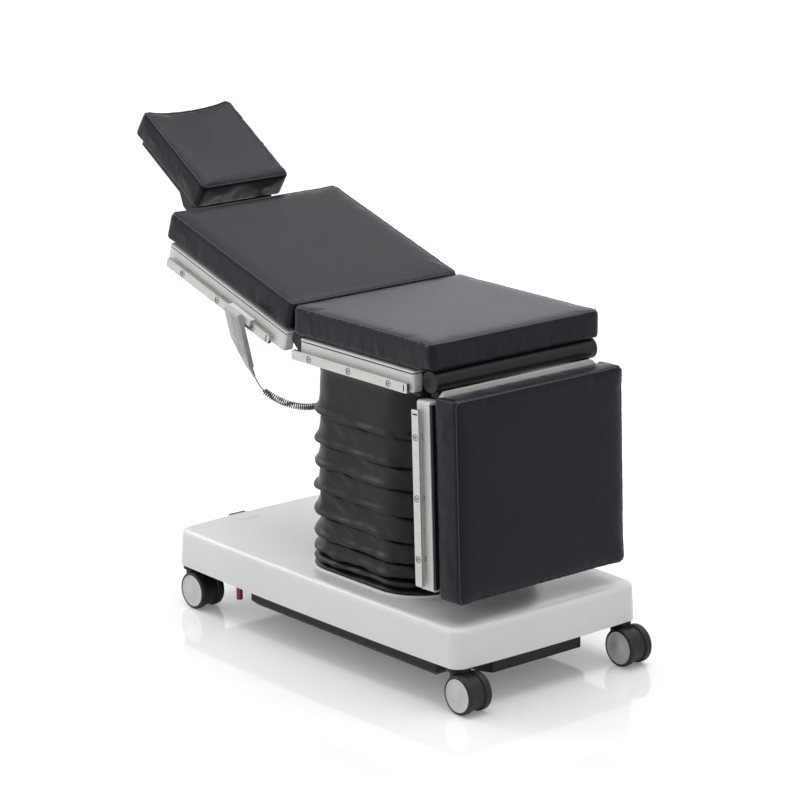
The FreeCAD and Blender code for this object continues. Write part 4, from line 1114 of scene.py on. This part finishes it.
# %% Cord helix
def along_line(places, distance):
    for first, second in zip(places, places[1:]):
        step = (second - first).length
        if distance <= step:
            return first.lerp(second, distance / step), (second - first).normalized()
        distance -= step
    return places[-1], (places[-1] - places[-2]).normalized()


tail_end = TAIL_SHARE * line_length
lead_start = LEAD_SHARE * line_length
helix_radius = (COIL_MM - WIRE_MM) / 2 * MM
step = PITCH_MM * MM / TURN_STEPS
cord_path = []
side = Vector((0, 0, 1))
distance = 0.0
turn = 0.0
while distance < line_length:
    place, direction = along_line(line, distance)
    side = (side - direction * side.dot(direction)).normalized()
    across = direction.cross(side)
    inside = min(distance - tail_end, lead_start - distance)
    ease = min(max(inside / (EASE_MM * MM), 0), 1)
    ease = ease * ease * (3 - 2 * ease)
    radius = helix_radius * ease
    cord_path.append(place + (side * math.cos(turn) + across * math.sin(turn)) * radius)
    if ease > 0:
        turn += 2 * math.pi / TURN_STEPS
        distance += step
    else:
        distance += STRAIGHT_STEP_MM * MM
cord_path.append(line[-1])

# %% [markdown]
# A curve with a round bevel gives the wire its thickness and closed ends.

# %% Cord tube
curve = bpy.data.curves.new("handset_cord", "CURVE")
curve.dimensions = "3D"
spline = curve.splines.new("POLY")
spline.points.add(len(cord_path) - 1)
for point, place in zip(spline.points, cord_path):
    point.co = (*place, 1)
curve.bevel_depth = WIRE_MM / 2 * MM
curve.bevel_resolution = 2
curve.use_fill_caps = True
cord = bpy.data.objects.new("handset_cord", curve)
bpy.context.scene.collection.objects.link(cord)
select_only(cord)
bpy.ops.object.convert(target="MESH")
cord = bpy.context.object
bpy.ops.object.shade_smooth()
dress(cord, cord_jacket)
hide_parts("handset_cord_ends", "handset_cord_coil")
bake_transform(cord)
print("cord faces:", len(cord.data.polygons))

# %% [markdown]
# The handset's front carries a thin key panel with two columns of round keys. They are laid out
# level in millimetres, from the middle of the handset's top edge, and then turned into its slope.
# A texture would be quicker, but raised keys catch the light as real ones do.

# %% Handset keys
HANDSET_TOP = Vector((-0.120, -0.3383, 0.866))
HANDSET_DOWN = Vector((-0.215, 0.379, -0.900)).normalized()
HANDSET_ACROSS = Vector((0.974, 0, -0.225))
PANEL_MIDDLE_MM = (9, -0.3, -76)
PANEL_SIZE_MM = (34, 0.6, 132)
PANEL_CORNER_MM = 5
KEY_RADIUS_MM = 4.2
KEY_HEIGHT_MM = 1.0
KEY_EDGE_MM = 0.3
KEY_ROWS_MM = (24, 40, 56, 72, 88, 112, 128)
KEY_COLUMNS_MM = (1, 17)

up = -HANDSET_DOWN
across = (HANDSET_ACROSS - up * HANDSET_ACROSS.dot(up)).normalized()
inward = up.cross(across).normalized()
handset_matrix = Matrix.Translation(HANDSET_TOP) @ Matrix((across, inward, up)).transposed().to_4x4()

panel = plain_block("handset_panel", [value * MM for value in PANEL_MIDDLE_MM],
                    [value * MM for value in PANEL_SIZE_MM])
pick_edges(panel, lambda place, along: abs(along.y) > SAME_WAY)
bpy.ops.mesh.bevel(offset=PANEL_CORNER_MM * MM, segments=5)
put_in_place(panel, handset_matrix)
dress(panel, key_panel_film)



def join_all(pieces, name):
    select_only(pieces[0])
    for piece in pieces:
        piece.select_set(True)
    bpy.ops.object.join()
    joined = bpy.context.object
    joined.name = name
    apply_place()
    return joined


keys = []
for row in KEY_ROWS_MM:
    for column in KEY_COLUMNS_MM:
        middle = (column * MM, -KEY_HEIGHT_MM * MM, -row * MM)
        keys.append(bar_across(middle, KEY_RADIUS_MM, KEY_HEIGHT_MM, sides=32))
keypad = join_all(keys, "handset_keys")
apply_modifier(keypad, "BEVEL", width=KEY_EDGE_MM * MM, segments=2, limit_method="ANGLE")
put_in_place(keypad, handset_matrix)
dress(keypad, key_plastic)
for piece in (panel, keypad):
    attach(piece, "back")
print("handset keys:", len(keys))

# %% [markdown]
# The inlet's lid lies nearly flush in the cover, and at its head edge only a thin dark line of shade
# shows. So a low lid, and a thin dark strip that paints that shadow line, stand for the plain block of the
# solid model.

# %% Inlet lid
LID_BOX_MM = ((-402, -142, 213.3), (-344, -75, 214.1))
# The second box is a thin dark strip, a painted shadow line at the lid's head edge
LID_SHADOW_BOX_MM = ((-402.5, -136, 213.3), (-400, -81, 216.2))


def small_block(name, low, high, corner_mm, corner_axis, material):
    """A small block between two corners in millimetres, with the edges along one axis rounded."""
    low, high = Vector(low), Vector(high)
    block = plain_block(name, (low + high) / 2 * MM, (high - low) * MM)
    pick_edges(block, lambda place, along: abs(along[corner_axis]) > SAME_WAY)
    bpy.ops.mesh.bevel(offset=corner_mm * MM, segments=4)
    bpy.ops.object.mode_set(mode="OBJECT")
    dress(block, material)
    return block


lid = small_block("inlet_lid", *LID_BOX_MM, corner_mm=8, corner_axis=2, material=gel_coat)
# Painted shadow: the thin strip in the cord's dark grey plastic stands for the shade at the lid's head
# edge
lip = small_block("inlet_lid_shadow_line", *LID_SHADOW_BOX_MM, corner_mm=1, corner_axis=0, material=cord_jacket)
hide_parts("inlet_cap")
for piece in (lid, lip):
    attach(piece, "root")
print("inlet lid:", len(lid.data.polygons), "faces")

# %% [markdown]
# Each rail screw sits in a countersunk hole whose sharp edge catches a thin dark shadow, and its
# socket is dark inside. Both are too small for the solids to show, so a fine ring and a small disc
# are laid at every screw. The screws are found from the solids: the outermost points of each lie on
# its face.

# %% Screw shadows
SCREW_SPREAD_MM = 20
RING_RADIUS_MM = 8.3
RING_THICKNESS_MM = 0.75
RING_LIFT_MM = 0.5
SOCKET_RADIUS_MM = 2.9
SOCKET_DEPTH_MM = 0.4


def screw_places(node):
    """The middle of each screw's face, from the solid's outermost points."""
    places = [vertex.co for vertex in frame["nodes"][node].data.vertices]
    outer = max(abs(place.y) for place in places)
    groups = []
    for place in places:
        if abs(place.y) < outer - SAME_PLACE:
            continue
        near = [group for group in groups if (group[0] - place).length < SCREW_SPREAD_MM * MM]
        if near:
            near[0].append(place)
        else:
            groups.append([place])
    middles = []
    for group in groups:
        low = Vector([min(place[axis] for place in group) for axis in range(3)])
        high = Vector([max(place[axis] for place in group) for axis in range(3)])
        middles.append((low + high) / 2)
    return middles


def screw_shadow(place):
    """A thin dark ring and a small dark disc at a screw, a painted shadow."""
    lift = Vector((0, math.copysign(1, place.y) * RING_LIFT_MM * MM, 0))
    bpy.ops.object.select_all(action="DESELECT")
    bpy.ops.mesh.primitive_torus_add(location=place + lift, rotation=ACROSS, major_segments=36,
                                     minor_segments=8, major_radius=RING_RADIUS_MM * MM,
                                     minor_radius=RING_THICKNESS_MM * MM)
    ring = bpy.context.object
    return [ring, bar_across(place, SOCKET_RADIUS_MM, SOCKET_DEPTH_MM, sides=20)]


for section in ("seat", "back", "leg"):
    marks = []
    for place in screw_places(section + "_rail_fixings"):
        marks += screw_shadow(place)
    shadows = join_all(marks, section + "_screw_shadows")
    bpy.ops.object.shade_smooth_by_angle(angle=math.radians(SHARP_ANGLE))
    # The rings and discs get the painted screw shade
    dress(shadows, painted_screw_shade)
    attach(shadows, section)
    print(shadows.name, len(marks) // 2, "screws")
